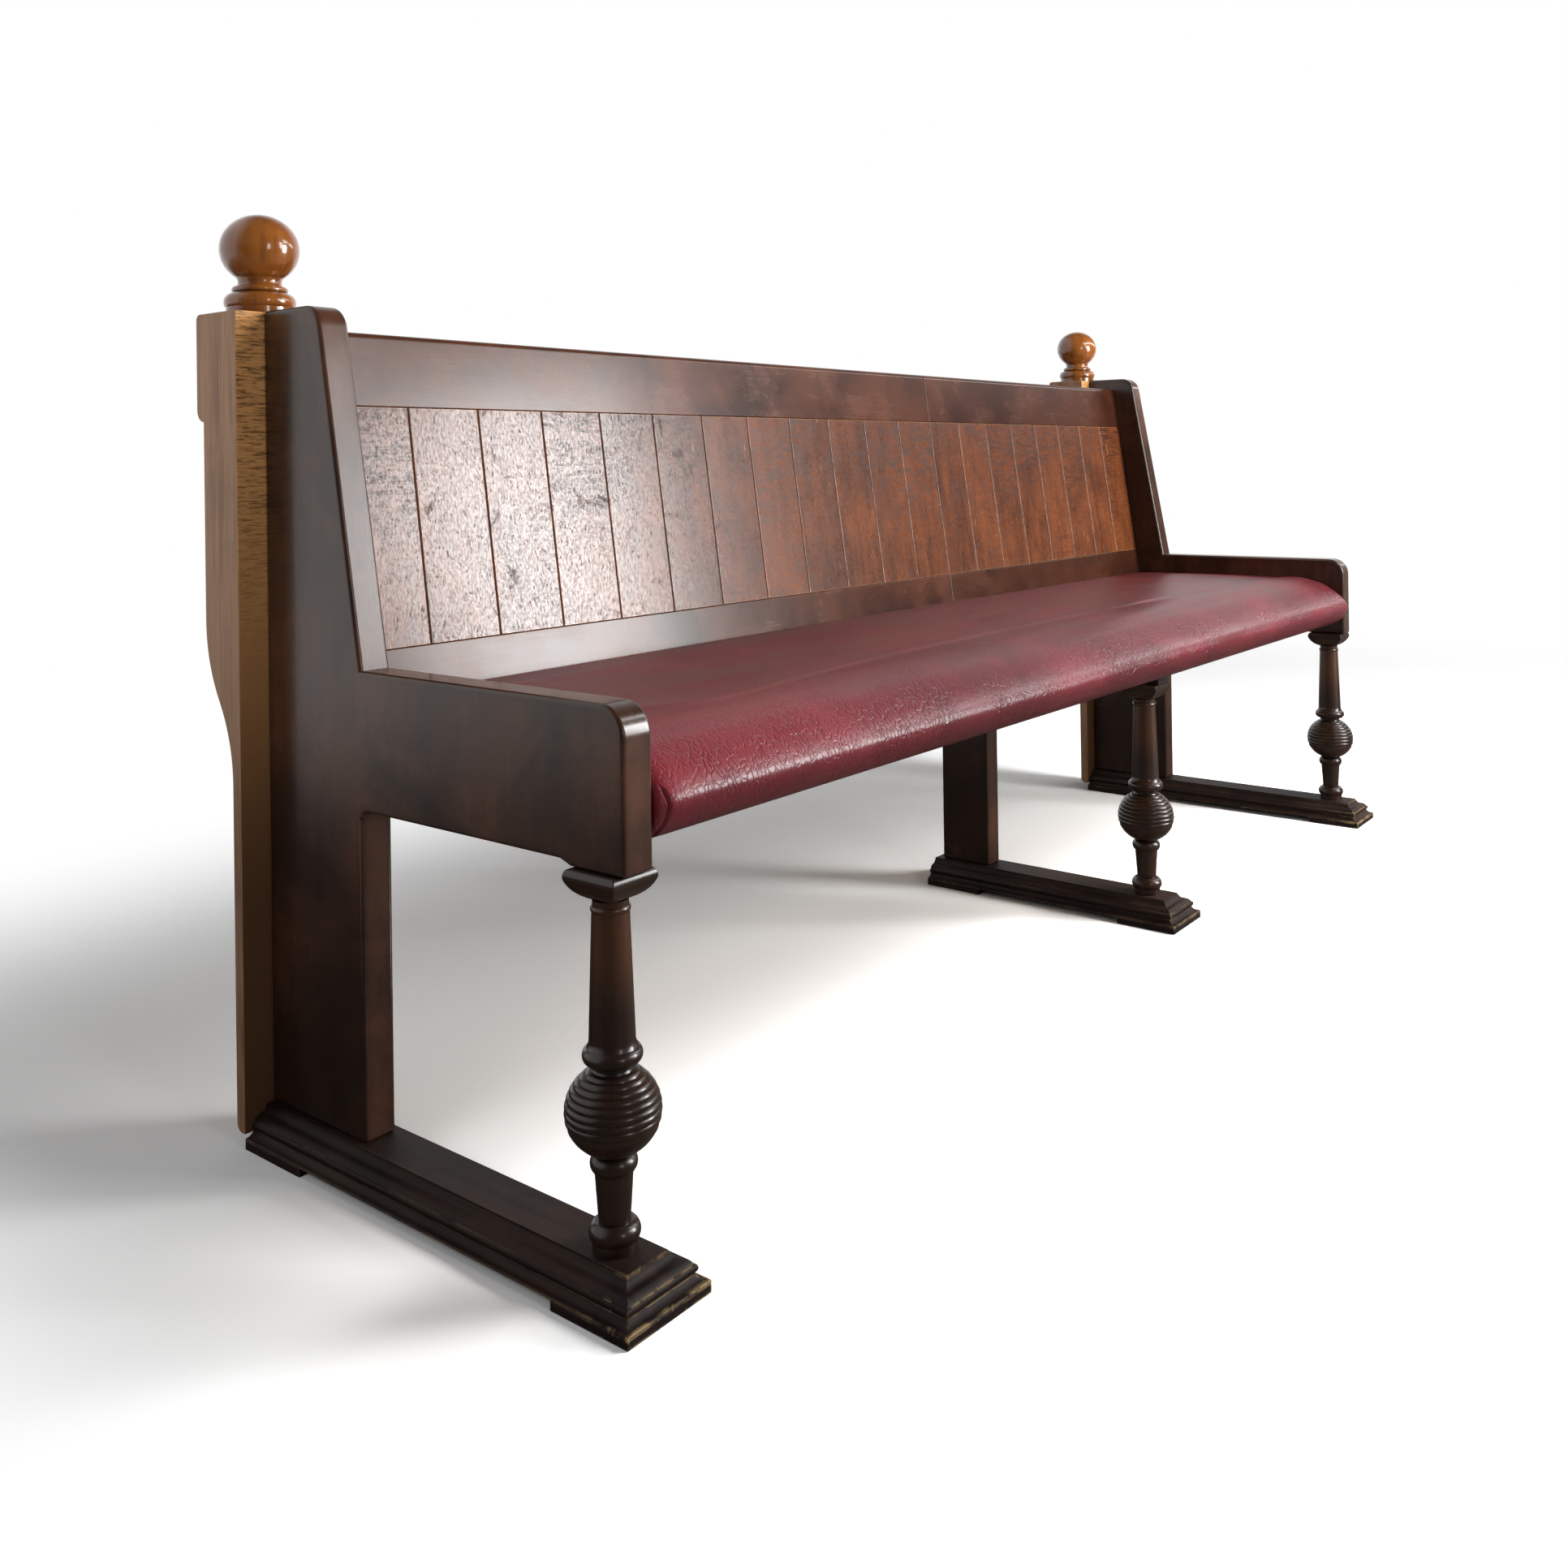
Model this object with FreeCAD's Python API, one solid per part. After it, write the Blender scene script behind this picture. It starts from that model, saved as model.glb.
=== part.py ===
import FreeCAD, Part
import math
import os

from FreeCAD import Vector

# Brasserie bench: a long panelled bench on three frames, with turned legs and ball finials.
# Millimetres. X runs along the bench, Y from the front to the back, Z up.
# Pieces are drawn with X counted from the middle of the bench and Y from the front of the arms.
# Each finished piece is then moved so that the origin is the middle of the footprint on the floor.

# Overall sizes
bench_length = 2112.0
left_bay = 1280.0
panel_depth = 558.0
panel_height = 929.0
panel_thickness = 38.0

# End panel: upright and arm
arm_height = 537.0
arm_underside = 390.0
arm_corner_radius = 30.0
upright_width = 173.0
upright_lean = 10.3
upright_corner_radius = 28.0
crotch_radius = 9.0
boss_drop = 5.0
boss_length = 70.0
boss_slope_run = 14.0
panel_round = 4.5

# Rear post, slim below and deep above
post_width = 108.0
post_drop = 1.0
post_floor_gap = 16.0
post_head_depth = 82.0
post_head_length = 123.0
post_head_round = 7.0
post_shaft_depth = 68.5
post_toe_depth = 16.0
post_toe_round = 10.0
post_curve_top = 580.0
post_curve_bottom = 400.0

# Ball finial
finial_setback = 38.0
finial_ball_radius = 44.2
finial_ball_half_height = 40.3
finial_disc_radius = 37.5
finial_disc_height = 8.0
finial_torus_radius = 39.7
finial_torus_height = 17.0
finial_bead_seat_radius = 28.5
finial_bead_radius = 31.1
finial_bead_height = 7.5
finial_neck_radius = 25.8
finial_neck_height = 10.5
finial_neck_hollow = 1.6
finial_ball_arcs = 6
finial_cap_angle = 66.0

# Moulded foot and its plinth pads
foot_height = 42.0
foot_top_overhang = 7.5
foot_front_overhang = 4.0
foot_flare = 27.5
pad_height = 10.0
front_pad_length = 97.0
rear_pad_length = 104.0
# Steps down the moulding, as shares of its flare and of its height; pairs are arcs
foot_moulding_shares = (
    (0.00, 0.93),
    (0.06, 0.90),
    ((0.14, 0.79), (0.29, 0.72)),
    ((0.48, 0.66), (0.60, 0.53)),
    (0.64, 0.53),
    ((0.70, 0.42), (0.64, 0.31)),
    (0.61, 0.29),
    ((0.74, 0.13), (0.94, 0.07)),
    (1.00, 0.04),
    (1.00, 0.00),
)

# Turned front leg, from the foot upwards
leg_setback = 37.0
leg_disc_radius = 20.8
leg_disc_height = 9.0
leg_torus_radius = 23.8
leg_torus_height = 17.0
leg_taper_bottom_radius = 14.7
leg_taper_top_radius = 17.7
leg_taper_length = 44.0
leg_low_collar_radius = 21.9
leg_low_collar_height = 17.0
leg_neck_radius = 16.4
leg_ball_radius = 44.6
leg_ball_half_height = 41.5
leg_rib_count = 9
leg_rib_depth = 1.3
leg_rib_start_angle = -27.0
leg_rib_end_angle = 64.0
leg_upper_neck_radius = 18.0
leg_upper_neck_height = 4.0
leg_collar_radius = 27.8
leg_collar_height = 15.0
leg_flare_radius = 23.6
leg_flare_height = 9.0
leg_column_bottom_radius = 21.4
leg_column_top_radius = 17.5
leg_bead_radius = 18.6
leg_bead_height = 6.5
leg_top_radius = 16.8
leg_top_height = 5.0

# Spigots of the turned pieces
spigot_radius = 10.0
spigot_depth = 15.0
foot_spigot_depth = 22.0
finial_spigot_depth = 35.0

# Leg capital, square in plan with rounded sides
capital_width = 58.0
capital_depth = 66.0
capital_neck = 27.0
capital_height = 27.0
capital_lip = 3.0
capital_shoulder_share = 0.68
capital_brow_share = 0.78
capital_curve_shares = (0.62, 0.26)

# Middle frame
centre_setback = 45.0
centre_upright_inset = 100.0
centre_upright_width = 92.0
centre_foot_tail = 12.0
bearer_height = 20.0

# Seat frame and seat panel
seat_front = 40.0
seat_rail_width = 45.0
seat_frame_height = 24.0
seat_panel_thickness = 9.0
cross_rail_width = 60.0
cleat_width = 35.0
cleat_front = 140.0
cleat_length = 230.0

# Seat cushion
cushion_height = 62.0
cushion_crown = 3.0
cushion_swell = 2.0
cushion_reach = 13.0
cushion_shoulder = 124.0
cushion_end_draw = 7.0
cushion_end_round = 26.0
cushion_gap = 0.3
# Front of the cushion, as shares of its depth ahead of the shoulder and of its whole height
cushion_brow_shares = (0.277, 0.80)
cushion_nose_share = 0.442
cushion_chin_shares = (0.055, 0.205)
cushion_lip_share = 0.285
# Rounding of the ends, as shares of the end round and of the end draw
cushion_end_shares = ((0.0, 1.0), (0.12, 0.55), (0.35, 0.20), (1.0, 0.0))

# Leaning back: rails, boards, battens and stile
back_inset = 124.0
back_lean = 8.0
rail_thickness = 28.0
top_rail_height = 88.0
bottom_rail_height = 106.0
top_rail_round = 8.0
board_length = 276.0
board_thickness = 18.0
left_board_count = 12
right_board_count = 8
groove_chamfer = 1.6
tongue_thickness = 7.0
tongue_length = 8.0
tongue_gap = 0.2
batten_height = 60.0
batten_margin = 12.0
stile_width = 90.0
stile_thickness = 22.0
stile_top_margin = 18.0

# Countersunk wood screws
screw_radius = 2.4
screw_head_radius = 4.6
screw_head_height = 3.4
screw_tip_length = 5.0
screw_bite = 18.0
screw_sink = 1.5
long_screw_bite = 45.0
pad_screw_margin = 22.0
# Places of the screws along the post's toe, the post's shaft and the cleat, and their reach in a board
toe_screw_shares = (0.30, 0.82)
shaft_screw_shares = (0.36, 0.80)
cleat_screw_shares = (0.17, 0.50, 0.83)
board_screw_share = 0.67

# Points closer than this share of the length are one point
same_place_share = 1e-6

# Places worked out from the sizes above
half_length = bench_length / 2
panel_x = half_length - panel_thickness / 2
inner_x = half_length - panel_thickness
centre_x = left_bay - half_length
upright_y = panel_depth - upright_width
post_height = panel_height - post_drop
centre_upright_setback = panel_depth - centre_upright_inset - centre_upright_width
boss_bottom = arm_underside - boss_drop
leg_top = boss_bottom - capital_height
foot_top_half = panel_thickness / 2 + foot_top_overhang
foot_half = foot_top_half + foot_flare
seat_frame_bottom = boss_bottom + bearer_height
seat_panel_bottom = seat_frame_bottom + seat_frame_height
seat_top = seat_panel_bottom + seat_panel_thickness
back_angle = math.radians(back_lean)
back_setback = panel_depth - back_inset
back_base_z = seat_top + rail_thickness * math.sin(back_angle)
back_rear_y = back_setback + rail_thickness * math.cos(back_angle)
board_base = bottom_rail_height
board_head = board_base + board_length
back_height = board_head + top_rail_height
tongue_front = (board_thickness - tongue_thickness) / 2
tongue_rear = tongue_front + tongue_thickness
same_place = bench_length * same_place_share
footprint_middle_y = (panel_depth + post_head_depth - foot_front_overhang - foot_flare) / 2


def in_yz(y, z):
    return Vector(0, y, z)


def in_xz(x, z):
    return Vector(x, 0, z)


def in_xy(x, y):
    return Vector(x, y, 0)


def outline(start, steps, plane):
    """Closed face through straight steps, given as points, and arcs, given as (middle, end)."""
    edges = []
    here = plane(*start)
    for step in steps:
        if isinstance(step[0], tuple):
            end = plane(*step[1])
            edges.append(Part.Arc(here, plane(*step[0]), end).toShape())
        else:
            end = plane(*step)
            edges.append(Part.LineSegment(here, end).toShape())
        here = end
    first = plane(*start)
    if not here.isEqual(first, same_place):
        edges.append(Part.LineSegment(here, first).toShape())
    return Part.Face(Part.Wire(edges))


def on_circle(centre, radius, angle):
    """Point of a circle in an outline's plane, by its angle in degrees."""
    turn = math.radians(angle)
    return (centre[0] + radius * math.cos(turn), centre[1] + radius * math.sin(turn))


def arc(centre, radius, start, end):
    """Arc step of a circle between two angles in degrees."""
    return (on_circle(centre, radius, (start + end) / 2), on_circle(centre, radius, end))


def oval(centre_z, half_width, half_height, start, end, count, groove):
    """Arc steps up the side of a turned oval, drawn in by a groove where two arcs meet."""
    steps = []
    for number in range(count):
        middle = math.radians(start + (end - start) * (number + 0.5) / count)
        stop = math.radians(start + (end - start) * (number + 1) / count)
        crest = (half_width * math.cos(middle), centre_z + half_height * math.sin(middle))
        valley_radius = (half_width - groove) * math.cos(stop)
        valley = (valley_radius, centre_z + (half_height - groove) * math.sin(stop))
        steps.append((crest, valley))
    return steps


def cap(start, top):
    """Arc step that closes a turned form over its axis."""
    rise = top - start[1]
    radius = (start[0] ** 2 + rise ** 2) / (2 * rise)
    half = math.asin(start[0] / radius) / 2
    return ((radius * math.sin(half), top - radius + radius * math.cos(half)), (0, top))


def along_x(face, start, end):
    """Solid of a YZ face between two places along the bench."""
    solid = face.extrude(Vector(end - start, 0, 0))
    solid.translate(Vector(start, 0, 0))
    return solid


def block(x0, x1, y0, y1, z0, z1):
    return Part.makeBox(x1 - x0, y1 - y0, z1 - z0, Vector(x0, y0, z0))


def turned(start, steps, x, y, z):
    """Solid of a half profile (radius, height) turned about an upright axis."""
    solid = outline(start, steps, in_xz).revolve(Vector(0, 0, 0), Vector(0, 0, 1), 360)
    solid.translate(Vector(x, y, z))
    return solid


def rounded(solid, radius, chosen):
    """Solid with the chosen edges rounded."""
    return solid.makeFillet(radius, [edge for edge in solid.Edges if chosen(edge.CenterOfMass)])


def same(a, b):
    return math.isclose(a, b, abs_tol=same_place)


def bore(x, y, z0, z1):
    """Upright hole for a spigot."""
    return Part.makeCylinder(spigot_radius, z1 - z0, Vector(x, y, z0))


def screw(point, direction, length):
    """Countersunk screw from the face of its head to its point."""
    shank_start = point + direction * screw_head_height
    tip_start = point + direction * (length - screw_tip_length)
    shank_length = length - screw_head_height - screw_tip_length
    head = Part.makeCone(screw_head_radius, screw_radius, screw_head_height, point, direction)
    shank = Part.makeCylinder(screw_radius, shank_length, shank_start, direction)
    tip = Part.makeCone(screw_radius, 0, screw_tip_length, tip_start, direction)
    return head.fuse([shank, tip]).removeSplitter()


def end_panel(x, screws):
    """Upright with a leaning front edge and the arm, as one L-shaped panel."""
    lean = math.radians(upright_lean)
    corner_z = panel_height - upright_corner_radius
    rise = corner_z - arm_height
    corner_y = upright_y + (upright_corner_radius + rise * math.sin(lean)) / math.cos(lean)
    corner = (corner_y, corner_z)
    lean_end = on_circle(corner, upright_corner_radius, 180 - upright_lean)
    upright_face = outline(
        (upright_y, foot_height),
        [
            (upright_y, arm_height),
            lean_end,
            arc(corner, upright_corner_radius, 180 - upright_lean, 90),
            (panel_depth, panel_height),
            (panel_depth, foot_height),
        ],
        in_yz,
    )
    left = x - panel_thickness / 2
    right = x + panel_thickness / 2
    upright = along_x(upright_face, left, right)

    def upright_arris(middle):
        on_side = same(middle.x, left) or same(middle.x, right)
        return on_side and not same(middle.y, panel_depth) and not same(middle.z, foot_height)

    upright = rounded(upright, panel_round, upright_arris)
    arm_corner = (arm_corner_radius, arm_height - arm_corner_radius)
    crotch = (upright_y - crotch_radius, arm_underside - crotch_radius)
    arm_root = upright_y + upright_width / 2
    arm_face = outline(
        (0, boss_bottom),
        [
            (0, arm_height - arm_corner_radius),
            arc(arm_corner, arm_corner_radius, 180, 90),
            (arm_root, arm_height),
            (arm_root, crotch[1]),
            (upright_y, crotch[1]),
            arc(crotch, crotch_radius, 0, 90),
            (boss_length + boss_slope_run, arm_underside),
            (boss_length, boss_bottom),
        ],
        in_yz,
    )
    arm = along_x(arm_face, left, right)

    def arm_arris(middle):
        on_side = same(middle.x, left) or same(middle.x, right)
        on_top = middle.z > arm_height - arm_corner_radius
        return on_side and (on_top and middle.y < upright_y or same(middle.y, 0))

    arm = rounded(arm, panel_round, arm_arris)
    panel = upright.fuse(arm).removeSplitter()
    return panel.cut([bore(x, leg_setback, boss_bottom, boss_bottom + spigot_depth)] + screws)


def rear_post(x, holes):
    """Post behind an end panel: a slim toe, a long double curve, a shaft and a deeper head."""
    back = panel_depth
    head_bottom = post_height - post_head_length
    step = post_head_depth - post_shaft_depth
    curve_middle_y = back + (post_toe_depth + post_shaft_depth) / 2
    curve_middle_z = (post_curve_top + post_curve_bottom) / 2
    run = (post_shaft_depth - post_toe_depth) / 2
    rise = (post_curve_top - post_curve_bottom) / 2
    curve_radius = (run * run + rise * rise) / (2 * run)
    sweep = math.degrees(math.asin(rise / curve_radius))
    upper_centre = (back + post_shaft_depth - curve_radius, post_curve_top)
    lower_centre = (back + post_toe_depth + curve_radius, post_curve_bottom)
    head_corner = (back + post_head_depth - post_head_round, post_height - post_head_round)
    toe_corner = (back + post_toe_depth - post_toe_round, post_floor_gap + post_toe_round)
    face = outline(
        (back, post_floor_gap),
        [
            (back, post_height),
            (head_corner[0], post_height),
            arc(head_corner, post_head_round, 90, 0),
            (back + post_head_depth, head_bottom + step),
            arc((back + post_shaft_depth, head_bottom + step), step, 0, -90),
            (back + post_shaft_depth, post_curve_top),
            (on_circle(upper_centre, curve_radius, -sweep / 2), (curve_middle_y, curve_middle_z)),
            arc(lower_centre, curve_radius, 180 - sweep, 180),
            (back + post_toe_depth, toe_corner[1]),
            arc(toe_corner, post_toe_round, 0, -90),
        ],
        in_yz,
    )
    post = along_x(face, x - post_width / 2, x + post_width / 2)
    socket = bore(x, back + finial_setback, post_height - finial_spigot_depth, post_height)
    return post.cut([socket] + holes)


def finial(x):
    """Turned ball on a stepped base, with a spigot that sits in the post."""
    torus_z = finial_disc_height + finial_torus_height
    bead_z = torus_z + finial_bead_height
    neck_z = bead_z + finial_neck_height
    lowest = -math.degrees(math.acos(finial_neck_radius / finial_ball_radius))
    ball_z = neck_z - finial_ball_half_height * math.sin(math.radians(lowest))
    steps = [
        (spigot_radius, -finial_spigot_depth),
        (spigot_radius, 0),
        (finial_disc_radius, 0),
        (finial_disc_radius, finial_disc_height),
        ((finial_torus_radius, finial_disc_height + finial_torus_height / 2), (finial_bead_radius, torus_z)),
        (finial_bead_seat_radius, torus_z),
        ((finial_bead_radius, torus_z + finial_bead_height / 2), (finial_neck_radius, bead_z)),
        ((finial_neck_radius - finial_neck_hollow, (bead_z + neck_z) / 2), (finial_neck_radius, neck_z)),
    ]
    oval_size = (finial_ball_radius, finial_ball_half_height)
    steps += oval(ball_z, *oval_size, lowest, finial_cap_angle, finial_ball_arcs, 0)
    steps.append(cap(steps[-1][1], ball_z + finial_ball_half_height))
    return turned((0, -finial_spigot_depth), steps, x, panel_depth + finial_setback, post_height)


def moulding(top, edge, height_of):
    """Steps down the moulded side of a foot, from its top edge outwards."""
    def point(share):
        return (edge(top, share[0]), height_of(share[1]))

    steps = []
    for share in foot_moulding_shares:
        if isinstance(share[0], tuple):
            steps.append((point(share[0]), point(share[1])))
        else:
            steps.append(point(share))
    return steps


def foot_level(share):
    return pad_height + share * (foot_height - pad_height)


def outwards(top, share):
    return top + share * foot_flare


def forwards(top, share):
    return top - share * foot_flare


def foot(x, front, back, holes):
    """Moulded foot whose moulding is mitred round its front and cut square at the back."""
    half = moulding(foot_top_half, outwards, foot_level)
    right_side = outline((0, foot_height), [(foot_top_half, foot_height)] + half + [(0, pad_height)], in_xz)
    right_side = right_side.extrude(Vector(0, back - front + foot_flare, 0))
    right_side.translate(Vector(0, front - foot_flare, 0))
    left_side = right_side.mirror(Vector(0, 0, 0), Vector(1, 0, 0))
    lengthwise = right_side.fuse(left_side).removeSplitter()
    nose = moulding(front, forwards, foot_level)
    side_face = outline((back, foot_height), [(front, foot_height)] + nose + [(back, pad_height)], in_yz)
    body = lengthwise.common(along_x(side_face, -foot_half, foot_half))
    body.translate(Vector(x, 0, 0))
    return body.cut(holes)


def pad(x, front, back, holes):
    """Plinth pad under one end of a foot."""
    return block(x - foot_half, x + foot_half, front, back, 0, pad_height).cut(holes)


def leg(x, y):
    """Turned leg: base, taper, ribbed ball, collar and column, with a spigot at each end."""
    disc_z = leg_disc_height
    torus_z = disc_z + leg_torus_height
    taper_z = torus_z + leg_taper_length
    low_collar_z = taper_z + leg_low_collar_height
    lowest = -math.degrees(math.acos(leg_neck_radius / leg_ball_radius))
    highest = math.degrees(math.acos(leg_upper_neck_radius / leg_ball_radius))
    ball_z = low_collar_z - leg_ball_half_height * math.sin(math.radians(lowest))
    ball_top = ball_z + leg_ball_half_height * math.sin(math.radians(highest))
    neck_z = ball_top + leg_upper_neck_height
    collar_z = neck_z + leg_collar_height
    flare_z = collar_z + leg_flare_height
    height = leg_top - foot_height
    bead_z = height - leg_top_height
    column_z = bead_z - leg_bead_height
    spigot_top = height + capital_height + spigot_depth
    flare_middle = ((leg_flare_radius + 2 * leg_column_bottom_radius) / 3, collar_z + leg_flare_height / 3)
    steps = [
        (spigot_radius, -foot_spigot_depth),
        (spigot_radius, 0),
        (leg_disc_radius, 0),
        (leg_disc_radius, disc_z),
        ((leg_torus_radius, disc_z + leg_torus_height / 2), (leg_taper_top_radius, torus_z)),
        (leg_taper_bottom_radius, torus_z),
        (leg_taper_top_radius, taper_z),
        ((leg_low_collar_radius, taper_z + leg_low_collar_height / 2), (leg_neck_radius, low_collar_z)),
    ]
    ball = (ball_z, leg_ball_radius, leg_ball_half_height)
    steps += oval(*ball, lowest, leg_rib_start_angle, 2, 0)
    steps += oval(*ball, leg_rib_start_angle, leg_rib_end_angle, leg_rib_count, leg_rib_depth)
    steps += [
        (leg_upper_neck_radius, ball_top),
        (leg_upper_neck_radius, neck_z),
        ((leg_collar_radius, neck_z + leg_collar_height / 2), (leg_flare_radius, collar_z)),
        (flare_middle, (leg_column_bottom_radius, flare_z)),
        (leg_column_top_radius, column_z),
        ((leg_bead_radius, column_z + leg_bead_height / 2), (leg_top_radius, bead_z)),
        (leg_top_radius, height),
        (spigot_radius, height),
        (spigot_radius, spigot_top),
        (0, spigot_top),
    ]
    return turned((0, -foot_spigot_depth), steps, x, y, foot_height)


def capital_face(half, plane):
    """Section of the capital: a narrow neck that swells to rounded sides and a drawn-in top."""
    neck = capital_neck / 2
    shoulder = capital_height * capital_shoulder_share
    brow = capital_height * capital_brow_share
    curve = (neck + (half - neck) * capital_curve_shares[0], capital_height * capital_curve_shares[1])
    lip_middle_z = (brow + capital_height) / 2
    lip_middle = half - capital_lip / 4

    def mirrored(point):
        return (-point[0], point[1])

    lip = (half - capital_lip, capital_height)
    return outline(
        (-neck, 0),
        [
            (neck, 0),
            (curve, (half, shoulder)),
            (half, brow),
            ((lip_middle, lip_middle_z), lip),
            mirrored(lip),
            ((-lip_middle, lip_middle_z), (-half, brow)),
            (-half, shoulder),
            (mirrored(curve), (-neck, 0)),
        ],
        plane,
    )


def capital(x, y):
    """Block between a leg and what it carries, bored for the leg's spigot."""
    across = capital_face(capital_width / 2, in_xz).extrude(Vector(0, capital_depth, 0))
    across.translate(Vector(0, -capital_depth / 2, 0))
    deep = along_x(capital_face(capital_depth / 2, in_yz), -capital_width / 2, capital_width / 2)
    body = across.common(deep)
    body.translate(Vector(x, y, leg_top))
    return body.cut(bore(x, y, leg_top, boss_bottom))


def leaned(solid):
    """Moves a piece of the back from upright, face at Y 0, to its leaning place."""
    solid.rotate(Vector(0, 0, 0), Vector(1, 0, 0), -back_lean)
    solid.translate(Vector(0, back_setback, back_base_z))
    return solid


def groove(x0, x1, z0, z1):
    """Room for the end tongues of the boards in the edge of a rail."""
    return block(x0, x1, tongue_front - tongue_gap, tongue_rear + tongue_gap, z0, z1)


def chamfered_rail(x0, x1, z0, z1, board_edge, joint_edge):
    """Rail whose front arrises towards the boards and at the butt joint are bevelled."""
    rail = block(x0, x1, 0, rail_thickness, z0, z1)
    bevelled = []
    for edge in rail.Edges:
        middle = edge.CenterOfMass
        if same(middle.y, 0) and (same(middle.z, board_edge) or same(middle.x, joint_edge)):
            bevelled.append(edge)
    return rail.makeChamfer(groove_chamfer, bevelled)


def top_rail(x0, x1, joint, holes):
    rail = chamfered_rail(x0, x1, board_head, back_height, board_head, joint)
    front_top = [
        edge for edge in rail.Edges
        if same(edge.CenterOfMass.y, 0) and same(edge.CenterOfMass.z, back_height)
    ]
    rail = rail.makeFillet(top_rail_round, front_top)
    return leaned(rail.cut([groove(x0, x1, board_head, board_head + tongue_length + tongue_gap)] + holes))


def bottom_rail(x0, x1, joint, holes):
    rail = chamfered_rail(x0, x1, 0, board_base, board_base, joint)
    return leaned(rail.cut([groove(x0, x1, board_base - tongue_length - tongue_gap, board_base)] + holes))


def board(x0, x1, first, last, holes):
    """Upright board with bevelled front arrises, a tongue, a groove and end tongues."""
    room_front = tongue_front - tongue_gap
    room_rear = tongue_rear + tongue_gap
    room_depth = tongue_length + tongue_gap
    steps = [(x1 - groove_chamfer, 0), (x1, groove_chamfer)]
    if not last:
        tip = x1 + tongue_length
        steps += [(x1, tongue_front), (tip, tongue_front), (tip, tongue_rear), (x1, tongue_rear)]
    steps += [(x1, board_thickness), (x0, board_thickness)]
    if not first:
        room_end = x0 + room_depth
        steps += [(x0, room_rear), (room_end, room_rear), (room_end, room_front), (x0, room_front)]
    steps += [(x0, groove_chamfer)]
    body = outline((x0 + groove_chamfer, 0), steps, in_xy).extrude(Vector(0, 0, board_length))
    body.translate(Vector(0, 0, board_base))
    tongue_x = x0 if first else x0 + room_depth
    low, high = board_base - tongue_length, board_head + tongue_length
    ends = [
        block(tongue_x, x1, tongue_front, tongue_rear, low, board_base),
        block(tongue_x, x1, tongue_front, tongue_rear, board_head, high),
    ]
    return leaned(body.fuse(ends).removeSplitter().cut(holes))


def batten(z0, holes):
    """Batten across the backs of the boards, flush with the rails."""
    plank = block(-inner_x, inner_x, board_thickness, rail_thickness, z0, z0 + batten_height)
    return leaned(plank.cut(holes))


def stile(holes):
    """Stile that covers the butt joint from behind."""
    left = centre_x - stile_width / 2
    right = centre_x + stile_width / 2
    rear = rail_thickness + stile_thickness
    return leaned(block(left, right, rail_thickness, rear, 0, back_height - stile_top_margin).cut(holes))


def cushion_section(x, inset):
    """Section of the cushion at one place along the bench, drawn in by the inset."""
    bottom = seat_top + cushion_gap
    lip_z = seat_frame_bottom
    top = seat_top + cushion_height - inset
    nose_y = inset - cushion_reach
    depth = cushion_shoulder - nose_y
    height = top - lip_z
    hem_y = seat_front - cushion_gap
    slope = math.tan(back_angle)

    def against_back(z):
        return back_setback + (z - back_base_z) * slope - cushion_gap / math.cos(back_angle)

    def front(shares):
        return (nose_y + depth * shares[0], lip_z + height * shares[1])

    rear_top = top - cushion_crown
    rear_y = against_back(rear_top)
    shoulder = (cushion_shoulder, top - cushion_crown / 2)
    crown = ((rear_y + cushion_shoulder) / 2, top)
    nose = front((0, cushion_nose_share))
    points = [
        (hem_y, bottom),
        (against_back(bottom), bottom),
        (rear_y, rear_top),
        (crown, shoulder),
        (front(cushion_brow_shares), nose),
        (front(cushion_chin_shares), front((cushion_lip_share, 0))),
        (hem_y, lip_z),
    ]
    wire = outline(points[0], points[1:], in_yz).OuterWire
    wire.translate(Vector(x, 0, 0))
    return wire


def seat_cushion():
    """Long crowned cushion with a rounded hanging front and drawn-in ends."""
    end = inner_x - cushion_gap
    sections = [cushion_section(-end + cushion_end_round * along, cushion_end_draw * draw)
                for along, draw in cushion_end_shares]
    sections.append(cushion_section(0, -cushion_swell))
    sections += [cushion_section(end - cushion_end_round * along, cushion_end_draw * draw)
                 for along, draw in reversed(cushion_end_shares)]
    return Part.makeLoft(sections, True, True)


def save(node, shape):
    """Writes one piece, moved to the bench's own origin."""
    piece = shape.copy()
    piece.translate(Vector(0, -footprint_middle_y, 0))
    piece.exportStep("parts/%s.step" % node)


def pad_fixings(x, y):
    """The two screws of one pad, and the holes that sink their heads."""
    up = Vector(0, 0, 1)
    reach = foot_half - pad_screw_margin
    places = [Vector(x + across, y, 0) for across in (-reach, reach)]
    screws = [screw(place + up * screw_sink, up, pad_height + screw_bite) for place in places]
    mouths = [Part.makeCylinder(screw_head_radius, screw_sink, place) for place in places]
    return screws, mouths


def upright_fixings(x, front, back):
    """Screws up through a foot into the upright on it."""
    quarter = (back - front) / 4
    length = foot_height - pad_height + long_screw_bite
    places = [Vector(x, y, pad_height) for y in (front + quarter, back - quarter)]
    return [screw(place, Vector(0, 0, 1), length) for place in places]


def post_fixings(x):
    """Screws forward through a rear post into its end panel, through the toe and the shaft."""
    toe_length = post_curve_bottom - post_floor_gap
    shaft_length = post_height - post_head_length - post_curve_top
    places = [(post_floor_gap + share * toe_length, post_toe_depth) for share in toe_screw_shares]
    places += [(post_curve_top + share * shaft_length, post_shaft_depth) for share in shaft_screw_shares]
    return [
        screw(Vector(x, panel_depth + depth, z), Vector(0, -1, 0), depth + long_screw_bite)
        for z, depth in places
    ]


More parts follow.
